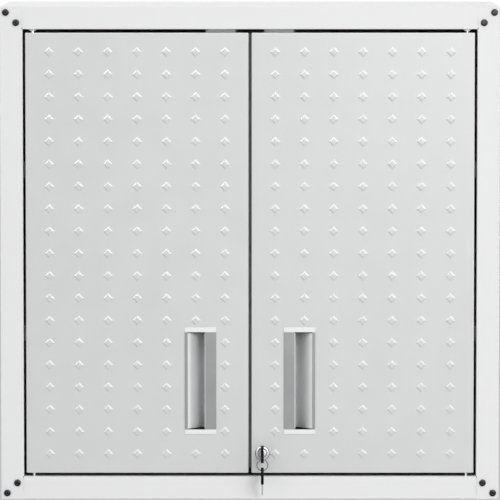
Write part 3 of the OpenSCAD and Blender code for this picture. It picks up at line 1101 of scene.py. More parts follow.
def level_section(outline: Path, z: float) -> list[Vector]:
    """The corners of a section that is drawn across X and Y, at a height."""
    return [Vector((x, y, z)) for x, y in outline]


def upright_section(outline: Path, x: float) -> list[Vector]:
    """The corners of a section that is drawn across Y and Z, at a place along X."""
    return [Vector((x, y, z)) for y, z in outline]


def hat(low: float, high: float, foot: float, under: float, crown: float) -> list[tuple[float, float]]:
    """The outline of a hat section.

    Args:
        low: Where it starts across.
        high: Where it ends across.
        foot: The width of each foot.
        under: How deep the feet lie.
        crown: How deep the crown between them lies.

    Returns:
        Its corners, as pairs of place across and depth.
    """
    return [(low, under), (low + foot, under), (low + foot, crown), (high - foot, crown),
            (high - foot, under), (high, under)]


def arc(centre: tuple[float, float], radius: float, start: float, end: float,
        steps: int) -> list[tuple[float, float]]:
    """Points along an arc in a plane.

    Args:
        centre: The arc's centre.
        radius: Its radius.
        start: The angle of its first point, in degrees.
        end: The angle of its last point.
        steps: How many stretches it has.

    Returns:
        The points, both ends among them.
    """
    angles = [math.radians(start + (end - start) * k / steps) for k in range(steps + 1)]
    return [(centre[0] + radius * math.cos(a), centre[1] + radius * math.sin(a)) for a in angles]


def extruded(name: str, outline: Sequence[Vector], length: Vector, rounding: float, segments: int = 2,
             angle: float = 40.0) -> Piece:
    """Makes a bar of one section, with its edges rounded.

    Args:
        name: The new piece's name.
        outline: The section's corners.
        length: How far and which way the section is pulled.
        rounding: The width of the edges' rounding.
        segments: How many faces each rounding has.
        angle: The least angle in degrees that is rounded.

    Returns:
        The closed piece.
    """
    piece = draw(name, outline, closed=True)
    bpy.ops.mesh.select_mode(type="FACE")
    pick_all()
    pull(*length)
    close(piece)
    if rounding:
        soften(piece, rounding, segments, angle)
    return piece


@dataclass(frozen=True)
class ButtonScrew:
    """A button-head screw with a hex socket, its seat at the origin and its head towards -Y."""

    shank_d: float
    shank_l: float
    head_d: float
    head_h: float
    socket_w: float
    pitch: float

    def build(self, name: str) -> Piece:
        """Turns the screw with its thread as rings, and cuts its socket.

        Args:
            name: The screw's name.

        Returns:
            The screw, to be copied to its places.
        """
        shank, head = self.shank_d / 2, self.head_d / 2
        root, socket_floor = shank - 0.5 * self.pitch, 0.4 * self.head_h
        profile = [(0.0, self.shank_l), (root * 0.8, self.shank_l)]
        for k in range(int(self.shank_l / self.pitch) - 1):
            crest = self.shank_l - (k + 0.6) * self.pitch
            profile += [(shank, crest), (root, crest - self.pitch / 2)]
        profile += [(shank, 0.0), (head - 0.1 * MM, 0.0)]
        profile += [(head * (0.55 + 0.45 * math.cos(a)), -self.head_h * (0.25 + 0.75 * math.sin(a)))
                    for a in map(math.radians, range(0, 91, 10))]
        profile.append((0.0, -self.head_h))
        screw = turned(name, profile, Vector(), Along.Y, 32)
        socket_mid = Vector((0, -socket_floor - self.head_h / 2, 0))
        combine(screw, rod("socket", socket_mid, self.socket_w / 2, self.head_h, Along.Y, 6), "DIFFERENCE")
        soften(screw, 0.12 * MM, 1, 55.0)
        return screw


def hex_nut(name: str, across: float, height: float, bore: float) -> Piece:
    """Cuts a hex nut with chamfered corners, centred on the origin, its axis along Y.

    Args:
        name: The nut's name.
        across: Its width across its corners.
        height: Its height.
        bore: The diameter of its bore.

    Returns:
        The nut, to be copied to its places.
    """
    nut = rod(name, Vector(), across / 2, height, Along.Y, 6)
    face, rim, drop, half = 0.44 * across, 0.51 * across, 0.12 * height, height / 2
    shape = turned("nut_form", [(0, -half), (face, -half), (rim, drop - half), (rim, half - drop),
                                (face, half), (0, half)], Vector(), Along.Y)
    combine(nut, shape, "INTERSECT")
    combine(nut, rod("bore", Vector(), bore / 2, 2 * height, Along.Y), "DIFFERENCE")
    soften(nut, 0.15 * MM, 1, 25.0)
    return nut


@dataclass
class Casing(Assembly):
    """The carcass of folded sheet steel: its sides, ends and back, its rails and its bolted corners."""

    sheet: float = 1.0 * MM
    bend: float = 1.3 * MM
    lip: float = 20.0 * MM
    flange: float = 18.0 * MM
    flange_y: float = -6.0 * MM
    gap: float = 0.2 * MM
    hem: float = 0.6 * MM
    corner_in: tuple[float, float] = (9.2 * MM, 25.0 * MM)
    corner_plate: float = 1.5 * MM
    corner_nut: tuple[float, float, float] = (11.5 * MM, 5.0 * MM, 6.0 * MM)
    back_in: float = 9.5 * MM
    back_seat: float = -5.0 * MM
    back_side_z: tuple[float, ...] = (-280 * MM, -93 * MM, 93 * MM, 280 * MM)
    back_end_x: tuple[float, ...] = (-240 * MM, 0.0, 240 * MM)
    wall_hole: tuple[float, float, float] = (203.2 * MM, 300.0 * MM, 4.5 * MM)
    rail_steel: float = 1.5 * MM
    rail_foot: float = -3.5 * MM
    rail_web: float = 21.5 * MM
    corner_screw: ButtonScrew = ButtonScrew(6 * MM, 14 * MM, 10.6 * MM, 3.25 * MM, 4.6 * MM, 1.0 * MM)
    back_screw: ButtonScrew = ButtonScrew(4 * MM, 9 * MM, 8 * MM, 2.47 * MM, 2.6 * MM, 1.0 * MM)

    def build(self) -> None:
        """Builds and mounts the whole casing."""
        self.sides()
        self.ends()
        self.back()
        self.rails()
        self.corners()
        self.rear_screws()

    def sides(self) -> None:
        """Folds a side of one sheet, with its front face, its lip and its rear flange, and mirrors it."""
        box, opening = Block.of("right_side_panel"), Block.of("top_panel").low.z
        outer, front, face_in = box.high.x, box.low.y, box.low.x

        def trim() -> None:
            """Ends the lip at the opening's corners."""
            for end in (-opening, opening):
                score(lambda at, way: near(at.x, face_in), Vector((0, 0, end)), Vector((0, 0, 1)))
            waste(lambda at, way: near(at.x, face_in) and abs(at.z) > opening)

        path = level_section([(outer, box.high.y), (outer, front), (face_in, front),
                              (face_in, front + self.lip)], box.low.z)
        inside = Vector((outer - self.flange, box.mid.y, 0))
        panel = folded("right_casing_side", path, Vector((0, 0, box.size.z)), inside, self.sheet,
                       self.bend, trim)
        fold, foot = outer - 2 * self.sheet, Block.of("back_panel").low.z
        path = level_section([(outer - self.flange, self.flange_y), (fold, self.flange_y),
                              (fold, -self.hem)], foot)
        inside = Vector((fold + 0.5 * self.sheet, self.flange_y - 0.5 * self.sheet, 0))
        flange = folded("rear_flange", path, Vector((0, 0, -2 * foot)), inside, self.sheet, self.sheet)
        panel = joined("right_casing_side", [panel, flange])
        self.mount_both(panel, Finish.CASE, "casing", "right_side_panel")

    def ends(self) -> None:
        """Folds the top sheet, with the tabs behind its corners, and turns a copy over for the bottom."""
        box, side = Block.of("top_panel"), Block.of("right_side_panel")
        front, wall, low, half = box.low.y, box.high.z, box.low.z, box.high.x
        face_half = side.low.x - 0.03 * MM

        def trim() -> None:
            """Sets the face and lip in between the sides, and the wall back behind the sides' faces."""
            for end in (-face_half, face_half):
                score(lambda at, way: True, Vector((end, 0, 0)), Vector((1, 0, 0)))
            waste(lambda at, way: abs(at.x) > face_half and not near(at.z, wall))
            behind = front + self.sheet
            score(lambda at, way: abs(at.x) > face_half, Vector((0, behind, 0)), Vector((0, 1, 0)))
            waste(lambda at, way: abs(at.x) > face_half and at.y < behind)

        path = upright_section([(box.high.y, wall), (front, wall), (front, low),
                                (front + self.lip, low)], -half)
        inside = Vector((0, box.mid.y, low + 5 * MM))
        panel = folded("top_casing_end", path, Vector((2 * half, 0, 0)), inside, self.sheet, self.bend, trim)
        span, fold = 2 * (side.high.x - self.flange - self.gap), wall - 2 * self.sheet
        path = upright_section([(self.flange_y, wall - self.flange), (self.flange_y, fold),
                                (-self.hem, fold)], -span / 2)
        inside = Vector((0, self.flange_y - 0.5 * self.sheet, fold + 0.5 * self.sheet))
        flange = folded("rear_flange", path, Vector((span, 0, 0)), inside, self.sheet, self.sheet)
        tab = plate("tab", Block.span((side.low.x - 6 * MM, half),
                                      (front + self.sheet, front + 2 * self.sheet),
                                      (low + 2 * self.sheet, wall - 0.5 * self.sheet)), 0.15 * MM)
        panel = joined("top_casing_end", [panel, flange, copied(tab, BOTH_SIDES)])
        lower = copy_of(panel, "bottom_casing_end", UPSIDE_DOWN)
        self.mount(panel, Finish.CASE, "casing", "top_panel")
        self.mount(lower, Finish.CASE, "casing", "bottom_panel")

    def wall_holes(self) -> list[Piece]:
        """Four bars that cut the holes for the wall bolts."""
        x, z, radius = self.wall_hole
        return [rod("wall_hole", Vector((sx * x, 0, sz * z)), radius, 2 * self.lip, Along.Y)
                for sx in SIGNS for sz in SIGNS]

    def back(self) -> None:
        """Cuts the back sheet, with the holes for the wall bolts."""
        sheet = plate("casing_back", Block.of("back_panel"), 0.2 * MM)
        cut_away(sheet, self.wall_holes())
        self.mount(sheet, Finish.CASE, "casing", "back_panel")

    def rails(self) -> None:
        """Folds the hat-section rails between the back and the wall, and drills them."""
        box = Block.of("upper_hang_rail")
        foot, mid, steel = self.rail_foot, box.mid.z, self.rail_steel
        low, high = mid - self.rail_web, mid + self.rail_web
        path = upright_section([(foot, box.low.z), (foot, low), (0, low), (0, high), (foot, high),
                                (foot, box.high.z)], box.low.x)
        inside = Vector((0, box.low.y, mid))
        rail = folded("hang_rails", path, Vector((box.size.x, 0, 0)), inside, steel, steel)
        rails = copied(rail, TOP_AND_BOTTOM)
        cut_away(rails, self.wall_holes())
        self.mount(rails, Finish.ZINC, "casing", "upper_hang_rail", "lower_hang_rail")

    def corner_places(self, y: float) -> list[Matrix]:
        """Where the corner screws go, at a depth."""
        box = Block.of("right_side_panel")
        return [shift(sx * (box.high.x - a), y, sz * (box.high.z - a))
                for sx in SIGNS for sz in SIGNS for a in self.corner_in]

    def corners(self) -> None:
        """Bolts the corners: a plate, two screws and two nuts in each."""
        side, end = Block.of("right_side_panel"), Block.of("top_panel")
        front, clear = side.low.y, 1.5 * MM
        rest = front + 2 * self.sheet
        block = Block.span((side.low.x + clear, side.high.x - clear), (rest, rest + self.corner_plate),
                           (end.low.z + clear + self.sheet, end.high.z - clear))
        plates = copied(plate("corner_fixing_plates", block, 0.25 * MM), ALL_CORNERS)
        self.mount(plates, Finish.ZINC, "casing", "corner_plates")
        screws = copied(self.corner_screw.build("corner_button_screws"), self.corner_places(front))
        self.mount(screws, Finish.BLACK_STEEL, "casing", "corner_screws")
        nut = hex_nut("corner_hex_nuts", *self.corner_nut)
        nuts = copied(nut, self.corner_places(block.high.y + self.corner_nut[1] / 2))
        self.mount(nuts, Finish.ZINC, "casing", "corner_nuts")

    def rear_screws(self) -> None:
        """Drives the screws that hold the back sheet, from behind."""
        side = Block.of("right_side_panel")
        x, z = side.high.x - self.back_in, side.high.z - self.back_in
        spots = [(s * x, side_z) for s in SIGNS for side_z in self.back_side_z]
        spots += [(end_x, s * z) for s in SIGNS for end_x in self.back_end_x]
        places = [shift(px, self.back_seat, pz) @ TURNED_BACK for px, pz in spots]
        screws = copied(self.back_screw.build("back_button_screws"), places)
        self.mount(screws, Finish.ZINC, "casing", "back_screws")


@dataclass
class ShelfSupports(Assembly):
    """The slotted uprights in the casing's sides, and the clips that hang in them."""

    sheet: float = 1.0 * MM
    slot_w: float = 3.2 * MM
    slot_h: float = 13.0 * MM
    pitch: float = 25.4 * MM
    slots: int = 27
    slot_deep: float = 4.0 * MM
    clip_steel: float = 1.5 * MM
    ledge: float = 14.0 * MM
    below_top: float = 9.0 * MM

    def build(self) -> None:
        """Builds and mounts the uprights and the clips."""
        self.uprights()
        for level in ("upper", "lower"):
            self.clips(level)

    def slot_z(self, k: int) -> float:
        """The height of a slot's middle."""
        return (k - self.slots // 2) * self.pitch

    def uprights(self) -> None:
        """Folds one upright, punches its slots, and copies it to the four places."""
        box = Block.of("right_front_upright")
        low, high = box.low, box.high
        path = level_section([(high.x, low.y), (low.x, low.y), (low.x, high.y), (high.x, high.y)], low.z)
        inside = Vector((high.x, box.mid.y, 0))
        post = folded("right_front_slotted_post", path, Vector((0, 0, box.size.z)), inside, self.sheet,
                      1.2 * self.sheet)
        half = Vector((self.slot_deep, self.slot_w, self.slot_h)) / 2
        start = Vector((low.x, box.mid.y, self.slot_z(0)))
        punch = plate("punch", Block(start - half, start + half))
        open_mesh(punch)
        pick(Part.EDGE, lambda at, way: abs(way.x) > 0.9)
        bpy.ops.mesh.bevel(offset=0.45 * self.slot_w, segments=4, affect="EDGES")
        put_down()
        punches = copied(punch, [shift(z=k * self.pitch) for k in range(self.slots)])
        combine(post, punches, "DIFFERENCE")
        rear = Block.of("right_rear_upright").low.y - low.y
        back_post = copy_of(post, "right_rear_slotted_post", shift(y=rear))
        self.mount_both(post, Finish.ZINC, "casing", "right_front_upright")
        self.mount_both(back_post, Finish.ZINC, "casing", "right_rear_upright")

    def clips(self, level: str) -> None:
        """Folds a clip with its ledge and hook, and copies it to a shelf's four corners.

        Args:
            level: "upper" or "lower".
        """
        box = Block.of(f"{level}_shelf_clips")
        post = Block.of("right_front_upright")
        steel, top, face, mid = self.clip_steel, box.high.z, post.low.x, post.mid.y
        slot, half = top - self.below_top, self.ledge / 2
        path = [Vector((x, mid - half, z)) for x, z in
                ((face, top), (face, box.low.z), (face - self.ledge, box.low.z))]
        inside = Vector((face - half, mid, slot))
        clip = folded(f"{level}_shelf_hooks", path, Vector((0, 2 * half, 0)), inside, steel, steel)
        tongue_half, hook_half, rounding = 1.3 * MM, 1.25 * MM, 0.3 * MM
        tongue = plate("tongue", Block.span((face - 0.5 * MM, face + 3.2 * MM),
                                            (mid - tongue_half, mid + tongue_half),
                                            (slot - 2 * MM, slot + 5.5 * MM)), rounding)
        hook = plate("hook", Block.span((face + 1.7 * MM, face + 3.15 * MM),
                                        (mid - hook_half, mid + hook_half),
                                        (slot - 6 * MM, slot + 5.4 * MM)), rounding)
        clip = joined(clip.name, [clip, tongue, hook])
        rear = Block.of("right_rear_upright").low.y - post.low.y
        clips = copied(clip, [move @ shift(y=back) for move in BOTH_SIDES for back in (0.0, rear)])
        self.mount(clips, Finish.ZINC, "casing", f"{level}_shelf_clips")


@dataclass
class Shelf(Assembly):
    """A folded shelf that stands on its clips, with a stiffener below."""

    level: str
    sheet: float = 1.0 * MM
    bend: float = 2.0 * MM
    inward: float = 14.0 * MM
    foot: float = 14.0 * MM

    def build(self) -> None:
        """Builds and mounts the tray and its stiffener."""
        self.tray()
        self.stiffener()

    def tray(self) -> None:
        """Folds the tray: a shallow box without a bottom, with returns at the front and back."""
        box = Block.of(f"{self.level}_shelf")
        tray = plate(f"{self.level}_shelf_tray", box)
        open_mesh(tray)
        waste(lambda at, way: way.z < -0.5)
        for edge, step in ((box.low.y, self.inward), (box.high.y, -self.inward)):
            pick(Part.EDGE, lambda at, way: near(at.y, edge) and near(at.z, box.low.z))
            pull(y=step)
        pick(Part.FACE, lambda at, way: near(at.z, box.low.z) and way.z > 0)
        bpy.ops.mesh.flip_normals()
        thicken(tray, self.sheet, self.bend)
        self.mount(tray, Finish.SHELF, f"{self.level}_shelf", f"{self.level}_shelf")

    def stiffener(self) -> None:
        """Folds the hat-section stiffener and sets it under the tray."""
        node = f"{self.level}_shelf_stiffener"
        box = Block.of(node)
        outline = hat(box.low.y, box.high.y, self.foot, box.high.z - self.sheet, box.low.z)
        path = upright_section(outline, box.low.x)
        inside = Vector((0, box.mid.y, box.high.z))
        rail = folded(f"{self.level}_shelf_rib", path, Vector((box.size.x, 0, 0)), inside, self.sheet,
                      1.5 * self.sheet)
        self.mount(rail, Finish.ZINC, f"{self.level}_shelf", node)


@dataclass
class Hinges(Assembly):
    """The doors' pivots: pins in the casing, washers on top, and bushes in the doors' edges."""

    pin_r: float = 2.5 * MM
    pin_reach: float = 16.0 * MM
    head_r: float = 4.5 * MM
    head_h: float = 2.5 * MM
    bore_r: float = 2.55 * MM
    washer_r: float = 6.2 * MM
    bush_r: float = 4.5 * MM
    flange_r: float = 7.0 * MM
    bush_reach: float = 18.5 * MM
    bore_reach: float = 16.2 * MM

    def build(self) -> None:
        """Builds and mounts every part of the four hinges."""
        pins = Block.of("right_hinge_pins")
        self.axis = Vector((pins.mid.x, pins.mid.y, 0))
        pin = self.pin(pins.high.z)
        self.mount_both(pin, Finish.ZINC, "casing", "right_hinge_pins")
        self.mount(copied(self.washer(), BOTH_SIDES), Finish.NYLON, "casing", "hinge_washers")
        bush = self.bush(Block.of("right_door_bushes").high.z)
        self.mount_both(bush, Finish.NYLON, "right_door", "right_door_bushes")

    def pin(self, top: float) -> Piece:
        """Turns the right door's two pins.

        Args:
            top: The height of the upper pin's head.

        Returns:
            The pins.
        """
        foot = Block.of("right_door_skin").high.z - self.pin_reach
        r, head, under = self.pin_r, self.head_r, top - self.head_h
        tip, edge, crown = 0.6 * MM, 0.2 * MM, 0.7 * MM
        profile = [(0, foot), (r - tip, foot), (r, foot + tip), (r, under), (head - edge, under),
                   (head, under + edge), (head, top - crown), (head - crown, top), (0, top)]
        return copied(turned("right_pivot_pins", profile, self.axis, Along.Z, 40), TOP_AND_BOTTOM)

    def washer(self) -> Piece:
        """Turns the tapered washer over the right door.

        Returns:
            The washer.
        """
        box = Block.of("hinge_washers")
        low, high, rim, bore = box.low.z, box.high.z, self.washer_r, self.bore_r
        profile = [(bore, high), (rim - 0.3 * MM, high), (rim, high - 0.25 * MM), (rim, high - 0.8 * MM),
                   (rim - 0.25 * MM, high - 1.15 * MM), (3.9 * MM, low + 0.2 * MM), (3.6 * MM, low),
                   (bore, low), (bore, high)]
        return turned("pivot_washers", profile, self.axis, Along.Z, 48)

    def bush(self, edge: float) -> Piece:
        """Turns the right door's two bushes, each a flanged cup for its pin.

        Args:
            edge: The height of the upper bush's open end.

        Returns:
            The bushes.
        """
        r, flange, bore = self.bush_r, self.flange_r, self.bore_r
        end, floor, chamfer, lead = edge - self.bush_reach, edge - self.bore_reach, 0.2 * MM, 0.3 * MM
        flange_top, flange_low = edge - 1 * MM, edge - 2.5 * MM
        profile = [(bore + lead, edge), (r, edge), (r, flange_top), (flange - chamfer, flange_top),
                   (flange, flange_top - chamfer), (flange, flange_low + chamfer),
                   (flange - chamfer, flange_low), (r, flange_low), (r, end + 0.5 * MM),
                   (r - 0.5 * MM, end), (0, end), (0, floor), (bore, floor), (bore, edge - lead),
                   (bore + lead, edge)]
        return copied(turned("right_pivot_bushes", profile, self.axis, Along.Z, 40), TOP_AND_BOTTOM)


@dataclass
class Catches(Assembly):
    """The magnetic catches behind the top of the opening, and the strikes on the doors."""

    corner: float = 5.0 * MM
    magnet_l: float = 27.6 * MM
    screw_x: tuple[float, float] = (30.0 * MM, 60.0 * MM)
    screw_y: float = -289.0 * MM
    screw: ButtonScrew = ButtonScrew(3.2 * MM, 8 * MM, 6.4 * MM, 2.18 * MM, 2 * MM, 0.8 * MM)

    def build(self) -> None:
        """Builds and mounts the bracket, the housings, the magnets, the screws and the strikes."""
        box = Block.of("catch_bracket")
        bracket = plate("catch_angle", box)
        open_mesh(bracket)
        pick(Part.EDGE, lambda at, way: abs(way.z) > 0.9)
        bpy.ops.mesh.bevel(offset=self.corner, segments=6, affect="EDGES")
        put_down()
        soften(bracket, 0.25 * MM, 2)
        self.mount(bracket, Finish.ZINC, "casing", "catch_bracket")
        self.mount(refined("catch_housings", 0.5 * MM, 3), Finish.WHITE_PLASTIC, "casing", "catch_housings")
        magnet = Block.of("catch_magnets")
        inner = magnet.high.x - self.magnet_l
        bar = plate("catch_bars", Block(Vector((inner, *magnet.low.yz)), magnet.high), 0.5 * MM, 3)
        self.mount(copied(bar, BOTH_SIDES), Finish.MAGNET, "casing", "catch_magnets")
        flat = Matrix.Rotation(-math.pi / 2, 4, "X")
        places = [shift(s * x, self.screw_y, box.high.z) @ flat for s in SIGNS for x in self.screw_x]
        screws = copied(self.screw.build("catch_button_screws"), places)
        self.mount(screws, Finish.ZINC, "casing", "catch_screws")
        strike = plate("right_strike_plate", Block.of("right_strike"), 0.4 * MM, 3)
        self.mount_both(strike, Finish.ZINC, "right_door", "right_strike")


@dataclass
class Doors(Assembly):
    """The two doors: embossed and folded sheets with their stiffeners, and the strip between them."""

    sheet: float = 1.0 * MM
    bend: float = 1.3 * MM
    depth: float = 20.0 * MM
    inward: float = 15.0 * MM
    pitch_x: float = 45.1 * MM
    pitch_z: float = 34.55 * MM
    columns: int = 7
    rows: int = 19
    foot: float = 15.5 * MM
    top: float = 10.5 * MM
    rise: float = 1.2 * MM
    front: float = -318.0 * MM
    cut_half_w: float = 22.75 * MM
    cut_half_h: float = 81.25 * MM
    blank_reach: float = 88.5 * MM
    lock_hole: tuple[float, float] = (9.65 * MM, 11.0 * MM)
    bush_hole_r: float = 4.55 * MM
    rib_foot: float = 14.0 * MM

    def build(self) -> None:
        """Builds and mounts both doors."""
        skin = self.skin()
        self.mount(mirrored(skin), Finish.DOOR, "left_door", "left_door_skin")
        lock = Block.of("lock_body")
        spot = Vector((lock.mid.x, self.front, lock.mid.z))
        body_r, nut_r = self.lock_hole
        cut_away(skin, [rod("front_hole", spot, body_r, 8 * MM, Along.Y),
                        rod("back_hole", spot + Vector((0, self.depth, 0)), nut_r, 6 * MM, Along.Y)])
        self.mount(skin, Finish.DOOR, "right_door", "right_door_skin")
        self.stiffeners()
        strip = plate("door_gap_strip", Block.of("gap_strip"), 0.3 * MM)
        # Darkened door paint: painted shade in the gap between the doors.
        self.mount(strip, Finish.STRIP, "left_door", "gap_strip")

    def tile(self, corner: Vector) -> Piece:
        """Presses one diamond into a tile of flat sheet.

        Args:
            corner: The tile's middle.

        Returns:
            The tile, an open surface that faces -Y.
        """
        upright = (math.pi / 2, 0, 0)
        put_down()
        bpy.ops.mesh.primitive_plane_add(size=1, location=corner, rotation=upright)
        tile = bpy.context.object
        tile.scale = (self.pitch_x, self.pitch_z, 1)
        bpy.ops.object.transform_apply(location=True, rotation=True, scale=True)
        open_mesh(tile)
        pick_all()
        bpy.ops.mesh.delete(type="ONLY_FACE")
        pick_all()
        bpy.ops.mesh.subdivide(number_cuts=1)
        bpy.ops.mesh.select_all(action="DESELECT")
        bpy.ops.mesh.primitive_circle_add(vertices=4, radius=self.foot / 2, fill_type="NOTHING",
                                          location=corner, rotation=upright)
        bpy.ops.mesh.subdivide(number_cuts=1)
        bpy.ops.mesh.select_mode(type="EDGE")
        pick_all()
        bpy.ops.mesh.bridge_edge_loops()
        pick(Part.EDGE, lambda at, way: (at - corner).length < 0.48 * self.foot)
        bpy.ops.mesh.edge_face_add()
        even_faces()
        if sum(face.normal.y for face in bmesh.from_edit_mesh(tile.data).faces) > 0:
            bpy.ops.mesh.flip_normals()
        pick(Part.FACE, lambda at, way: (at - corner).length < 0.1 * self.foot)
        bpy.ops.mesh.inset(thickness=(self.foot - self.top) / 2 / math.sqrt(2), depth=0.0)
        bpy.ops.transform.translate(value=(0, -self.rise, 0))
        pick_folds(12.0)
        bpy.ops.mesh.bevel(offset=0.55 * MM, segments=2, affect="EDGES")
        put_down()
        return tile

    def skin(self) -> Piece:
        """Presses, cuts, folds and thickens the right door's sheet, without its holes for the lock.

        Returns:
            The sheet.
        """
        box = Block.of("right_door_skin")
        first = Vector((box.mid.x - (self.columns // 2) * self.pitch_x, self.front,
                        -(self.rows // 2) * self.pitch_z))
        skin = self.tile(first)
        skin.name = skin.data.name = "right_door_sheet"
        for count, step in ((self.columns, (self.pitch_x, 0, 0)), (self.rows, (0, 0, self.pitch_z))):
            modify(skin, "ARRAY", count=count, use_relative_offset=False, use_constant_offset=True,
                   constant_offset_displace=step, use_merge_vertices=True, merge_threshold=0.01 * MM)
        open_mesh(skin)
        self.cut_opening(first)
        self.fold_rims(box)
        even_faces()
        if sum(face.normal.y * face.calc_area() for face in bmesh.from_edit_mesh(skin.data).faces
               if face.calc_center_median().y < self.front + 0.1 * MM) > 0:
            bpy.ops.mesh.flip_normals()
        put_down()
        thicken(skin, self.sheet, self.bend)
        pivot = Block.of("right_hinge_pins").mid
        cut_away(skin, [rod("bush_hole", Vector((pivot.x, pivot.y, s * box.high.z)), self.bush_hole_r,
                            6 * MM, Along.Z) for s in SIGNS])
        return skin

    def cut_opening(self, first: Vector) -> None:
        """Leaves out the diamonds beside the pull and cuts the pull's opening, in the open flat sheet.

        Args:
            first: The middle of the lowest diamond in the first column.
        """
        handle = Block.of("right_handle_shell").mid
        blank_x = first.x + self.pitch_x
        rows = [first.z + row * self.pitch_z for row in range(self.rows)]
        hidden = [z for z in rows if abs(z - handle.z) < self.blank_reach]
        low, high = min(hidden) - self.pitch_z / 2, max(hidden) + self.pitch_z / 2
        pick(Part.FACE, lambda at, way: abs(at.x - blank_x) < self.pitch_x / 2 and low < at.z < high)
        bpy.ops.mesh.dissolve_faces()
        left, right = handle.x - self.cut_half_w, handle.x + self.cut_half_w
        bottom, top = handle.z - self.cut_half_h, handle.z + self.cut_half_h
        near_side, far_side = 8 * MM, 30 * MM

        def around(at: Vector, way: Vector) -> bool:
            """Whether a flat face lies by the handle."""
            return (near(at.y, self.front) and way.y < -0.999
                    and left - near_side < at.x < blank_x + far_side
                    and low - 10 * MM < at.z < high + far_side)

        for x in (left, right):
            score(around, Vector((x, 0, 0)), Vector((1, 0, 0)))
        for z in (bottom, top):
            score(around, Vector((0, 0, z)), Vector((0, 0, 1)))
        waste(lambda at, way: left < at.x < right and bottom < at.z < top)

    def fold_rims(self, box: Block) -> None:
        """Widens the open sheet to the door's size, and folds its rims back and then inwards.

        Args:
            box: The box that the door's sheet fills.
        """
        half_h, back = box.high.z, self.front + self.depth
        margin_x = (box.size.x - self.columns * self.pitch_x) / 2
        margin_z = half_h - self.rows * self.pitch_z / 2
        for sign, edge in ((-1, box.low.x + margin_x), (1, box.high.x - margin_x)):
            pick(Part.EDGE, lambda at, way: near(at.x, edge))
            pull(x=sign * margin_x)
        for sign in SIGNS:
            pick(Part.EDGE, lambda at, way: near(at.z, sign * (half_h - margin_z)))
            pull(z=sign * margin_z)
        pick(Part.EDGE, lambda at, way: near(at.x, box.low.x) or near(at.x, box.high.x)
             or near(abs(at.z), half_h))
        pull(y=self.depth)
        pick(Part.EDGE, lambda at, way: near(at.y, back))
        pull()
        bpy.ops.transform.resize(value=(1 - 2 * self.inward / box.size.x, 1, 1 - self.inward / half_h),
                                 center_override=(box.mid.x, back, 0))

    def stiffeners(self) -> None:
        """Folds the upright hat section on the inside of the right door, and mirrors it."""
        box = Block.of("right_door_stiffener")
        outline = hat(box.low.x, box.high.x, self.rib_foot, box.low.y + self.sheet, box.high.y)
        path = level_section(outline, box.low.z)
        inside = Vector((box.mid.x, box.low.y, 0))
        rail = folded("right_door_rib", path, Vector((0, 0, box.size.z)), inside, self.sheet,
                      1.5 * self.sheet)
        self.mount_both(rail, Finish.ZINC, "right_door", "right_door_stiffener")


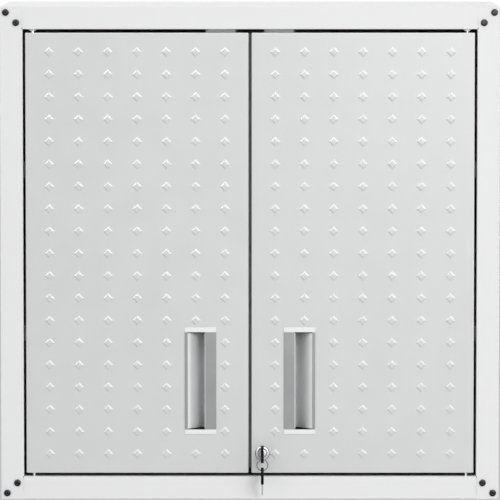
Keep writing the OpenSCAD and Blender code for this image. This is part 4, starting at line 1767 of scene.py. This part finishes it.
@dataclass
class PullHandles(Assembly):
    """The recessed pulls: a drawn shell with a scoop and a grip plate, closed by end plates and caps."""

    wall: float = 1.5 * MM
    depth: float = 26.5 * MM
    grip_edge: float = -7.7 * MM
    nose: float = 1.2 * MM
    scoop_edge: float = 19.8 * MM
    pocket_in: float = -20.5 * MM
    proud: float = 1.0 * MM
    plate_back: float = 1.2 * MM
    cap_proud: float = 1.4 * MM
    corner: float = 3.5 * MM
    cut_half_w: float = 22.75 * MM
    lap: float = 1.2 * MM
    block_half_w: float = 18.0 * MM
    clamp_steel: float = 1.5 * MM
    clamp_back: float = 23.5 * MM
    clamp_half_w: float = 30.0 * MM
    clamp_h: float = 6.7 * MM
    screw_up: float = 2.8 * MM
    screw: ButtonScrew = ButtonScrew(2.9 * MM, 10 * MM, 5.4 * MM, 1.88 * MM, 2 * MM, 0.8 * MM)

    def build(self) -> None:
        """Builds each part of the right handle, and mirrors it for the left one."""
        # The trim takes the darker copy of the aluminium: painted shade.
        self.mount_both(self.trim(), Finish.BRUSHED, "right_door")
        for piece, finish, node in ((self.shell(), Finish.ALUMINIUM, "shell"),
                                    (self.end_plates(), Finish.BLACK_PLASTIC, "end_plates"),
                                    (self.caps(), Finish.WHITE_PLASTIC, "caps"),
                                    (self.clamps(), Finish.ZINC, "clamps"),
                                    (self.screws(), Finish.ZINC, "screws")):
            self.mount_both(piece, finish, "right_door", f"right_handle_{node}")

    def scoop(self, across: float = 0.0, deeper: float = 0.0) -> list[tuple[float, float]]:
        """Draws the slope from the outer lip down into the pocket.

        Args:
            across: How far the slope is moved across.
            deeper: How far it is moved into the door.

        Returns:
            Its points, as offsets across and into the door.
        """
        start, run = self.scoop_edge + across, self.scoop_edge - self.grip_edge
        return [(start - run * a / 90, deeper + self.depth * math.sin(math.radians(a)) ** 2)
                for a in range(0, 91, 5)]

    def pocket_corner(self, radius: float, start: float, end: float) -> list[tuple[float, float]]:
        """The pocket's rounded corner, at some radius, from one angle to another."""
        centre = (self.pocket_in + self.corner, self.depth - self.corner)
        return arc(centre, radius, start, end, 8)

    def pocket_outside(self) -> list[tuple[float, float]]:
        """The outside of the pocket, from the outer lip round to the inner wall."""
        return [*self.scoop(self.lap, self.wall), *self.pocket_corner(self.corner + self.wall, 90, 180),
                (self.pocket_in - self.wall, self.plate_back)]

    def placed(self, outline: Path, height: float) -> list[Vector]:
        """Puts a section's offsets in the door.

        Args:
            outline: The offsets, across and into the door.
            height: The section's height.

        Returns:
            The section's corners.
        """
        shell = Block.of("right_handle_shell")
        middle, front = shell.mid.x, shell.low.y + self.proud
        return [Vector((middle + across, front + deep, height)) for across, deep in outline]

    def mid_z(self) -> float:
        """The height of the handle's middle."""
        return Block.of("right_handle_shell").mid.z

    def at_both_ends(self, piece: Piece) -> Piece:
        """Copies a piece from the handle's top end to its bottom end too."""
        return copied(piece, (IDENTITY, shift(z=2 * self.mid_z()) @ UPSIDE_DOWN))

    def trim(self) -> Piece:
        """Planes the brushed bars on the shell's face: the grip plate and the outer lip.

        Returns:
            The bars, joined.
        """
        box = Block.of("right_handle_shell")
        end = Block.of("right_handle_end_plates").high.z
        length = Vector((0, 0, 2 * (end - box.mid.z)))
        edge, chamfer, foot = box.size.x / 2, 0.35 * MM, 2 * box.mid.z - end
        bars = []
        for inner, outer in ((-edge, self.grip_edge), (self.scoop_edge, edge)):
            outline = [(inner, -self.proud), (outer, -self.proud), (outer, -chamfer), (outer - chamfer, 0),
                       (inner + chamfer, 0), (inner, -chamfer)]
            bars.append(extruded("bar", self.placed(outline, foot), length, 0.3 * MM, 3, 80.0))
        return joined("right_pull_trim", bars)

    def shell(self) -> Piece:
        """Draws the long shell behind the trim: the scoop and the pocket.

        Returns:
            The shell.
        """
        box, hair = Block.of("right_handle_shell"), 0.02 * MM
        step, edge = self.cut_half_w - 0.3 * MM, box.size.x / 2 - 0.6 * MM
        nose, back = self.grip_edge + self.nose, self.plate_back
        outline = [(step, 0), (step, self.wall), *self.pocket_outside(),
                   (self.pocket_in - self.wall, hair), (-edge, hair), (-edge, 0), (nose, 0), (nose, back),
                   (self.pocket_in, back), *self.pocket_corner(self.corner, 180, 90),
                   *reversed(self.scoop())]
        return extruded("right_pull_shell", self.placed(outline, box.low.z), Vector((0, 0, box.size.z)),
                        0.2 * MM, 2, 35.0)

    def end_plates(self) -> Piece:
        """Cuts the plates that close the pocket's ends.

        Returns:
            The plates.
        """
        high = Block.of("right_handle_end_plates").high.z
        low = Block.of("right_handle_shell").high.z
        outline = [*self.pocket_outside(), (self.cut_half_w - 0.6 * MM, self.plate_back)]
        return self.at_both_ends(extruded("right_pull_ends", self.placed(outline, low),
                                          Vector((0, 0, high - low)), 0.2 * MM, 2, 50.0))

    def caps(self) -> Piece:
        """Moulds the caps, each a proud bar with a block behind it.

        Returns:
            The caps.
        """
        box = Block.of("right_handle_caps")
        low, high, mid = Block.of("right_handle_end_plates").high.z, box.high, box.mid.x
        front = box.low.y + self.cap_proud
        bar = plate("right_pull_caps", Block.span((box.low.x, high.x), (box.low.y, front), (low, high.z)))
        open_mesh(bar)
        pick(Part.EDGE, lambda at, way: at.y < front - 0.8 * self.cap_proud)
        bpy.ops.mesh.bevel(offset=0.5 * MM, segments=4, affect="EDGES")
        pick(Part.EDGE, lambda at, way: near(at.y, front))
        bpy.ops.mesh.bevel(offset=0.4 * MM, segments=1, affect="EDGES")
        put_down()
        block = plate("cap_block", Block.span((mid - self.block_half_w, mid + self.block_half_w),
                                              (front, high.y), (low + 0.1 * MM, high.z - 1.8 * MM)), 0.4 * MM)
        return self.at_both_ends(joined("right_pull_caps", [bar, block]))

    def clamps(self) -> Piece:
        """Folds the strips that pull the caps against the door from behind.

        Returns:
            The strips.
        """
        low = Block.of("right_handle_end_plates").high.z + 0.3 * MM
        foot, back, sole = self.clamp_half_w, self.clamp_back, 1 * MM
        leg, under = foot - self.clamp_steel, back - self.clamp_steel
        outline = [(-foot, back), (-foot, sole), (-leg, sole), (-leg, under), (leg, under), (leg, sole),
                   (foot, sole), (foot, back)]
        return self.at_both_ends(extruded("right_pull_clamps", self.placed(outline, low),
                                          Vector((0, 0, self.clamp_h)), 0.3 * MM))

    def screws(self) -> Piece:
        """Drives a screw through each clamp into its cap.

        Returns:
            The screws.
        """
        middle = Block.of("right_handle_screws").mid.x
        seat = Block.of("right_handle_shell").low.y + self.proud + self.clamp_back
        end = Block.of("right_handle_end_plates").high.z + self.screw_up
        places = [shift(middle, seat, z) @ TURNED_BACK for z in (end, 2 * self.mid_z() - end)]
        return copied(self.screw.build("right_pull_screws"), places)


@dataclass
class CamLock(Assembly):
    """The cylinder lock low on the right door, in its unlocked position."""

    bezel_t: float = 2.2 * MM
    body_r: float = 9.5 * MM
    plug_r: float = 6.0 * MM
    pitch: float = 1.0 * MM
    plug_back: float = -296.5 * MM
    tail_r: float = 3.5 * MM
    keyway: tuple[float, float] = (1.15 * MM, 4.2 * MM)
    keyway_l: float = 21.0 * MM
    ring_nut: tuple[float, float, float] = (27.0 * MM, 4.0 * MM, 19.0 * MM)
    hub_r: float = 8.5 * MM
    arm_half_w: float = 6.5 * MM
    screw: ButtonScrew = ButtonScrew(3 * MM, 4 * MM, 9.5 * MM, 2.55 * MM, 2.6 * MM, 0.8 * MM)

    def build(self) -> None:
        """Builds and mounts the body, the nut, the plug, the cam and its screw."""
        box = Block.of("lock_body")
        self.spot = Vector((box.mid.x, box.low.y + self.bezel_t, box.mid.z))
        self.mount(self.body(box), Finish.CHROME, "right_door", "lock_body")
        # A black ring round the bezel: painted shade for its dark outline.
        self.mount(self.painted_shade_ring(box), Finish.BLACK_PLASTIC, "right_door")
        nut = hex_nut("lock_ring_nut", *self.ring_nut)
        nut = copied(nut, [shift(self.spot.x, Block.of("lock_nut").mid.y, self.spot.z)])
        self.mount(nut, Finish.ZINC, "right_door", "lock_nut")
        self.mount(self.plug(), Finish.CHROME, "lock", "lock_plug")
        self.mount(self.cam(), Finish.ZINC, "lock", "lock_cam")
        seat = Block.of("lock_cam").high.y + 0.1 * MM
        place = shift(self.spot.x, seat, self.spot.z) @ TURNED_BACK
        screw = copied(self.screw.build("cam_button_screw"), [place])
        self.mount(screw, Finish.ZINC, "lock", "cam_screw")

    def body(self, box: Block) -> Piece:
        """Turns the lock's body, with its domed bezel and its threaded barrel.

        Args:
            box: The box that the body fills.

        Returns:
            The body.
        """
        rim, bore, end = box.size.x / 2, self.plug_r + 0.05 * MM, box.high.y - self.spot.y
        face, dome = -self.bezel_t, 1.2 * MM
        profile = [(bore + 0.25 * MM, face + 0.6 * MM), (bore + 0.7 * MM, face + 0.15 * MM),
                   (bore + 1.1 * MM, face), *arc((rim - dome, face + dome), dome, -90, 0, 6),
                   (rim, 0.0), (self.body_r, 0.0)]
        for k in range(int(end / self.pitch) - 1):
            crest = (k + 0.8) * self.pitch
            profile += [(self.body_r - 0.45 * MM, crest), (self.body_r, crest + self.pitch / 2)]
        profile += [(self.body_r - 0.5 * MM, end), (bore, end), (bore, face + 0.85 * MM), profile[0]]
        return turned("lock_barrel", profile, self.spot, Along.Y, 64)

    def painted_shade_ring(self, box: Block) -> Piece:
        """Turns a thin black ring round the bezel, painted shade that stands in for the dark outline at the
        bezel's edge.

        Args:
            box: The box that the lock's body fills.

        Returns:
            The ring.
        """
        rim, front, back, edge = box.size.x / 2, -0.5 * MM, -0.01 * MM, 0.2 * MM
        inner, outer = rim + 0.02 * MM, rim + 0.55 * MM
        profile = [(inner, back), (inner, front), (outer - edge, front), (outer, front + edge),
                   (outer, back), (inner, back)]
        return turned("lock_gasket", profile, self.spot, Along.Y, 64)

    def plug(self) -> Piece:
        """Turns the plug, with its tail, and cuts the keyway.

        Returns:
            The plug.
        """
        box, spot = Block.of("lock_plug"), self.spot
        face, shoulder, end = box.low.y - spot.y, self.plug_back - spot.y, box.high.y - spot.y
        r, tail = self.plug_r, self.tail_r
        profile = [(0, face), (r - 0.8 * MM, face), (r - 0.25 * MM, face + 0.15 * MM),
                   (r, face + 0.5 * MM), (r, shoulder), (tail, shoulder), (tail, end - 0.3 * MM),
                   (tail - 0.3 * MM, end), (0, end)]
        plug = turned("lock_cylinder", profile, spot, Along.Y, 48)
        half_w, half_h = self.keyway
        keyway = Block.span((spot.x - half_w, spot.x + half_w),
                            (box.low.y - 1 * MM, spot.y - self.bezel_t + self.keyway_l),
                            (spot.z - half_h, spot.z + half_h))
        cut_away(plug, [plate("keyway", keyway, 0.2 * MM)])
        soften(plug, 0.12 * MM, 1, 60.0)
        return plug

    def cam(self) -> Piece:
        """Cuts the cam: a round hub with an arm.

        Returns:
            The cam.
        """
        box, hub, half, nose = Block.of("lock_cam"), self.hub_r, self.arm_half_w, 3 * MM
        end, start = box.high.x - self.spot.x - nose, math.degrees(math.asin(half / hub))
        points = [*arc((end, half - nose), nose, 90, 0, 5), *arc((end, nose - half), nose, 0, -90, 5),
                  *arc((0.0, 0.0), hub, -start, start - 360, 24)]
        outline = [Vector((self.spot.x + x, box.low.y, self.spot.z + z)) for x, z in points]
        return extruded("lock_cam_arm", outline, Vector((0, box.size.y, 0)), 0.3 * MM, 2, 50.0)


@dataclass
class Keys(Assembly):
    """The key in the lock, the split ring through its bow, and the spare key that hangs from the ring."""

    corner: float = 5.0 * MM
    slot_in: float = 5.0 * MM
    slot_half: float = 6.6 * MM
    slot_r: float = 2.3 * MM
    blade_t: float = 2.0 * MM
    blade_h: float = 8.0 * MM
    shoulder_up: float = 1.5 * MM
    notches: int = 5
    first_notch: float = 6.0 * MM
    notch_pitch: float = 3.2 * MM
    wire: float = 1.6 * MM
    hang_gap: float = 0.5 * MM
    tilt: float = 20.5
    split_at: float = 0.6

    def build(self) -> None:
        """Builds the key, hangs a copy of it from the ring, and mounts all of it."""
        box, ring = Block.of("key_bow"), Block.of("key_ring")
        lock = Vector((box.mid.x, ring.mid.y, box.mid.z))
        head, blade = self.head(box), self.blade(box)
        held = Vector((lock.x, lock.y, ring.low.z + self.wire + self.hang_gap - self.slot_r))
        hang = (Matrix.Translation(held) @ Matrix.Rotation(math.radians(self.tilt - 90), 4, "X")
                @ Matrix.Translation(-lock - Vector((0, 0, self.slot_half))))
        for piece, name, finish, node in ((head, "spare_key_head", Finish.BLACK_PLASTIC, "spare_key_bow"),
                                          (blade, "spare_key_shank", Finish.KEY_STEEL, "spare_key_blade")):
            self.mount(copy_of(piece, name, hang), finish, "spare_key", node)
        self.mount(head, Finish.BLACK_PLASTIC, "key", "key_bow")
        self.mount(blade, Finish.KEY_STEEL, "key", "key_blade")
        self.mount(self.ring(ring), Finish.RING_STEEL, "ring", "key_ring")

    def head(self, box: Block) -> Piece:
        """Moulds the key's head, with its slot.

        Args:
            box: The box that the head fills.

        Returns:
            The head.
        """
        r, low, high = self.corner, box.low, box.high
        points = [*arc((high.y - r, high.z - r), r, 0, 90, 6), *arc((low.y + r, high.z - r), r, 90, 180, 6),
                  *arc((low.y + r, low.z + r), r, 180, 270, 6), *arc((high.y - r, low.z + r), r, 270, 360, 6)]
        head = extruded("key_head", upright_section(points, low.x), Vector((box.size.x, 0, 0)), 0.0)
        slot_y, half = low.y + self.slot_in, self.slot_half
        points = [*arc((slot_y, box.mid.z + half), self.slot_r, 0, 180, 8),
                  *arc((slot_y, box.mid.z - half), self.slot_r, 180, 360, 8)]
        through = Vector((box.size.x + 2 * MM, 0, 0))
        cut_away(head, [extruded("slot", upright_section(points, low.x - MM), through, 0.0)])
        soften(head, 0.7 * MM, 3, 50.0)
        return head

    def blade(self, box: Block) -> Piece:
        """Cuts the key's blade, with its shoulder, its notches and its grooves.

        Args:
            box: The box that the key's head fills.

        Returns:
            The blade.
        """
        tip, root, mid = Block.of("key_blade").high.y, box.high.y - 3 * MM, box.mid.z
        half, shoulder, flat = self.blade_h / 2, box.high.y + 1 * MM, 0.3 * MM
        top = [(shoulder, half)]
        for k in range(self.notches):
            middle = box.high.y + self.first_notch + self.notch_pitch * k
            cut = (0.8 + 0.4 * (k % 3)) * MM
            top += [(middle - cut - flat, half), (middle - flat, half - cut), (middle + flat, half - cut),
                    (min(middle + cut + flat, tip - 0.4 * MM), half)]
        high = half + self.shoulder_up
        points = [(root, -high), (shoulder, -high), (shoulder, -half), (tip - 1.5 * MM, -half),
                  (tip, -half + 1.5 * MM), (tip, half - 1 * MM), *reversed(top), (shoulder, high),
                  (root, high)]
        outline = upright_section([(y, mid + z) for y, z in points], box.mid.x - self.blade_t / 2)
        blade = extruded("key_shank", outline, Vector((self.blade_t, 0, 0)), 0.0)
        for side in SIGNS:
            x, low = box.mid.x + side * self.blade_t / 2, mid - 1.4 * MM + side * MM
            groove = Block.span((x - 0.5 * MM, x + 0.5 * MM), (shoulder, tip + MM), (low, low + 1.2 * MM))
            cut_away(blade, [plate("groove", groove, 0.2 * MM)])
        soften(blade, 0.12 * MM, 2, 35.0)
        return blade

    def ring(self, box: Block) -> Piece:
        """Winds the split ring: two flat coils side by side, with the outer one's end cut free.

        Args:
            box: The box that the ring fills.

        Returns:
            The ring.
        """
        outer, half, gap, c = box.size.x / 2, self.wire / 2, 0.05 * MM, 0.2 * MM
        inner = outer - self.wire
        coils = []
        for side in SIGNS:
            a, b = sorted((side * gap, side * half))
            profile = [(inner + c, a), (outer - c, a), (outer, a + c), (outer, b - c), (outer - c, b),
                       (inner + c, b), (inner, b - c), (inner, a + c), (inner + c, a)]
            coils.append(turned("coil", profile, box.mid, Along.Y, 72))
        across, up = outer * math.cos(self.split_at), outer * math.sin(self.split_at)
        size = Vector((0.3 * MM, 0.9 * self.wire, 2.4 * self.wire))
        cutter = plate("split", Block(-size, size))
        cutter.data.transform(Matrix.Translation(box.mid + Vector((across, -half, up)))
                              @ Matrix.Rotation(math.pi / 2 - self.split_at, 4, "Y"))
        cut_away(coils[0], [cutter])
        return joined("key_split_ring", coils)


@dataclass(frozen=True)
class SoftBox:
    """A soft lamp that points at the cabinet. One that is gloss only adds no light of its own."""

    name: str
    place: tuple[float, float, float]
    size: tuple[float, float]
    power: float
    gloss_only: bool = False

    def hang(self, aim: Vector) -> None:
        """Hangs the lamp.

        Args:
            aim: What it points at.
        """
        put_down()
        bpy.ops.object.light_add(type="AREA", location=self.place)
        lamp = bpy.context.object
        lamp.name = lamp.data.name = self.name
        lamp.data.shape = "RECTANGLE"
        lamp.data.size, lamp.data.size_y = self.size
        lamp.data.energy = self.power
        lamp.rotation_mode = "QUATERNION"
        lamp.rotation_quaternion = (aim - Vector(self.place)).to_track_quat("-Z", "Y")
        lamp.visible_diffuse = not self.gloss_only
        lamp.visible_camera = False


@dataclass
class Studio:
    """The plain pale room that the cabinet hangs in: a floor, soft lights and the camera."""

    floor_z: float = -1.25
    floor_size: float = 60.0
    distance: float = 7.0
    above: float = 0.1692
    tilt: float = 4.448
    lens: float = 327.7
    room: float = 0.76
    floor_white: float = 0.70
    aim: tuple[float, float, float] = (0.0, -0.3, 0.0)
    lamps: tuple[SoftBox, ...] = (
        SoftBox("key_box", (2.4, -4.2, 2.0), (2.0, 2.0), 70.0),
        SoftBox("rear_box", (-2.8, 2.6, 2.0), (2.0, 2.0), 38.0),
        SoftBox("ceiling_gloss", (0.0, -1.5, 2.2), (7.0, 2.2), 220.0, gloss_only=True),
        SoftBox("left_gloss", (-2.2, -1.7, 1.9), (1.5, 1.5), 70.0, gloss_only=True),
        SoftBox("right_gloss", (1.5, -4.6, 1.0), (1.8, 1.8), 190.0, gloss_only=True))

    def build(self) -> None:
        """Sets up the floor, the lights and the camera."""
        self.floor()
        self.room_light()
        for lamp in self.lamps:
            lamp.hang(Vector(self.aim))
        self.camera()

    def floor(self) -> None:
        """Lays the floor."""
        put_down()
        bpy.ops.mesh.primitive_grid_add(x_subdivisions=4, y_subdivisions=4, size=self.floor_size,
                                        location=(0, 0, self.floor_z))
        floor = made("studio_floor")
        paint = Shader("studio_floor_paint", (self.floor_white,) * 3, 1.0, specular=0.0)
        floor.data.materials.append(paint.material)

    def room_light(self) -> None:
        """Fills the room with even, soft light, and shows the camera a white background."""
        world = bpy.data.worlds.new("studio_room")
        bpy.context.scene.world = world
        world.use_nodes = True
        tree = world.node_tree
        lit, seen = tree.nodes["Background"], tree.nodes.new("ShaderNodeBackground")
        for glow, strength in ((lit, self.room), (seen, 1.0)):
            glow.inputs["Color"].default_value = (1, 1, 1, 1)
            glow.inputs["Strength"].default_value = strength
        rays = tree.nodes.new("ShaderNodeLightPath")
        mix = tree.nodes.new("ShaderNodeMixShader")
        tree.links.new(rays.outputs["Is Camera Ray"], mix.inputs["Fac"])
        tree.links.new(lit.outputs[0], mix.inputs[1])
        tree.links.new(seen.outputs[0], mix.inputs[2])
        tree.links.new(mix.outputs[0], tree.nodes["World Output"].inputs["Surface"])

    def camera(self) -> None:
        """Sets the camera in front of the doors and a little above them."""
        case = Block.of("right_side_panel")
        place = Vector((0, case.low.y - self.distance, case.high.z + self.above))
        put_down()
        bpy.ops.object.camera_add(location=place, rotation=(math.radians(90 - self.tilt), 0, 0))
        camera = bpy.context.object
        camera.data.lens = self.lens
        camera.data.sensor_width = 36
        camera.data.clip_end = 100
        camera.data.dof.use_dof = False
        bpy.context.scene.camera = camera


def main() -> None:
    """Builds the cabinet's assemblies in order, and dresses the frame."""
    logging.basicConfig(level=logging.INFO, format="%(name)s: %(message)s")
    finishes = Finishes()
    finishes.dress_frame(frame)
    bpy.context.scene.view_settings.view_transform = "Standard"
    for assembly in (Casing(finishes), ShelfSupports(finishes), Shelf(finishes, "upper"),
                     Shelf(finishes, "lower"), Hinges(finishes), Catches(finishes), Doors(finishes),
                     PullHandles(finishes), CamLock(finishes), Keys(finishes)):
        log.info("building: %s", type(assembly).__name__)
        assembly.build()
    Studio().build()


if __name__ == "__main__":
    main()
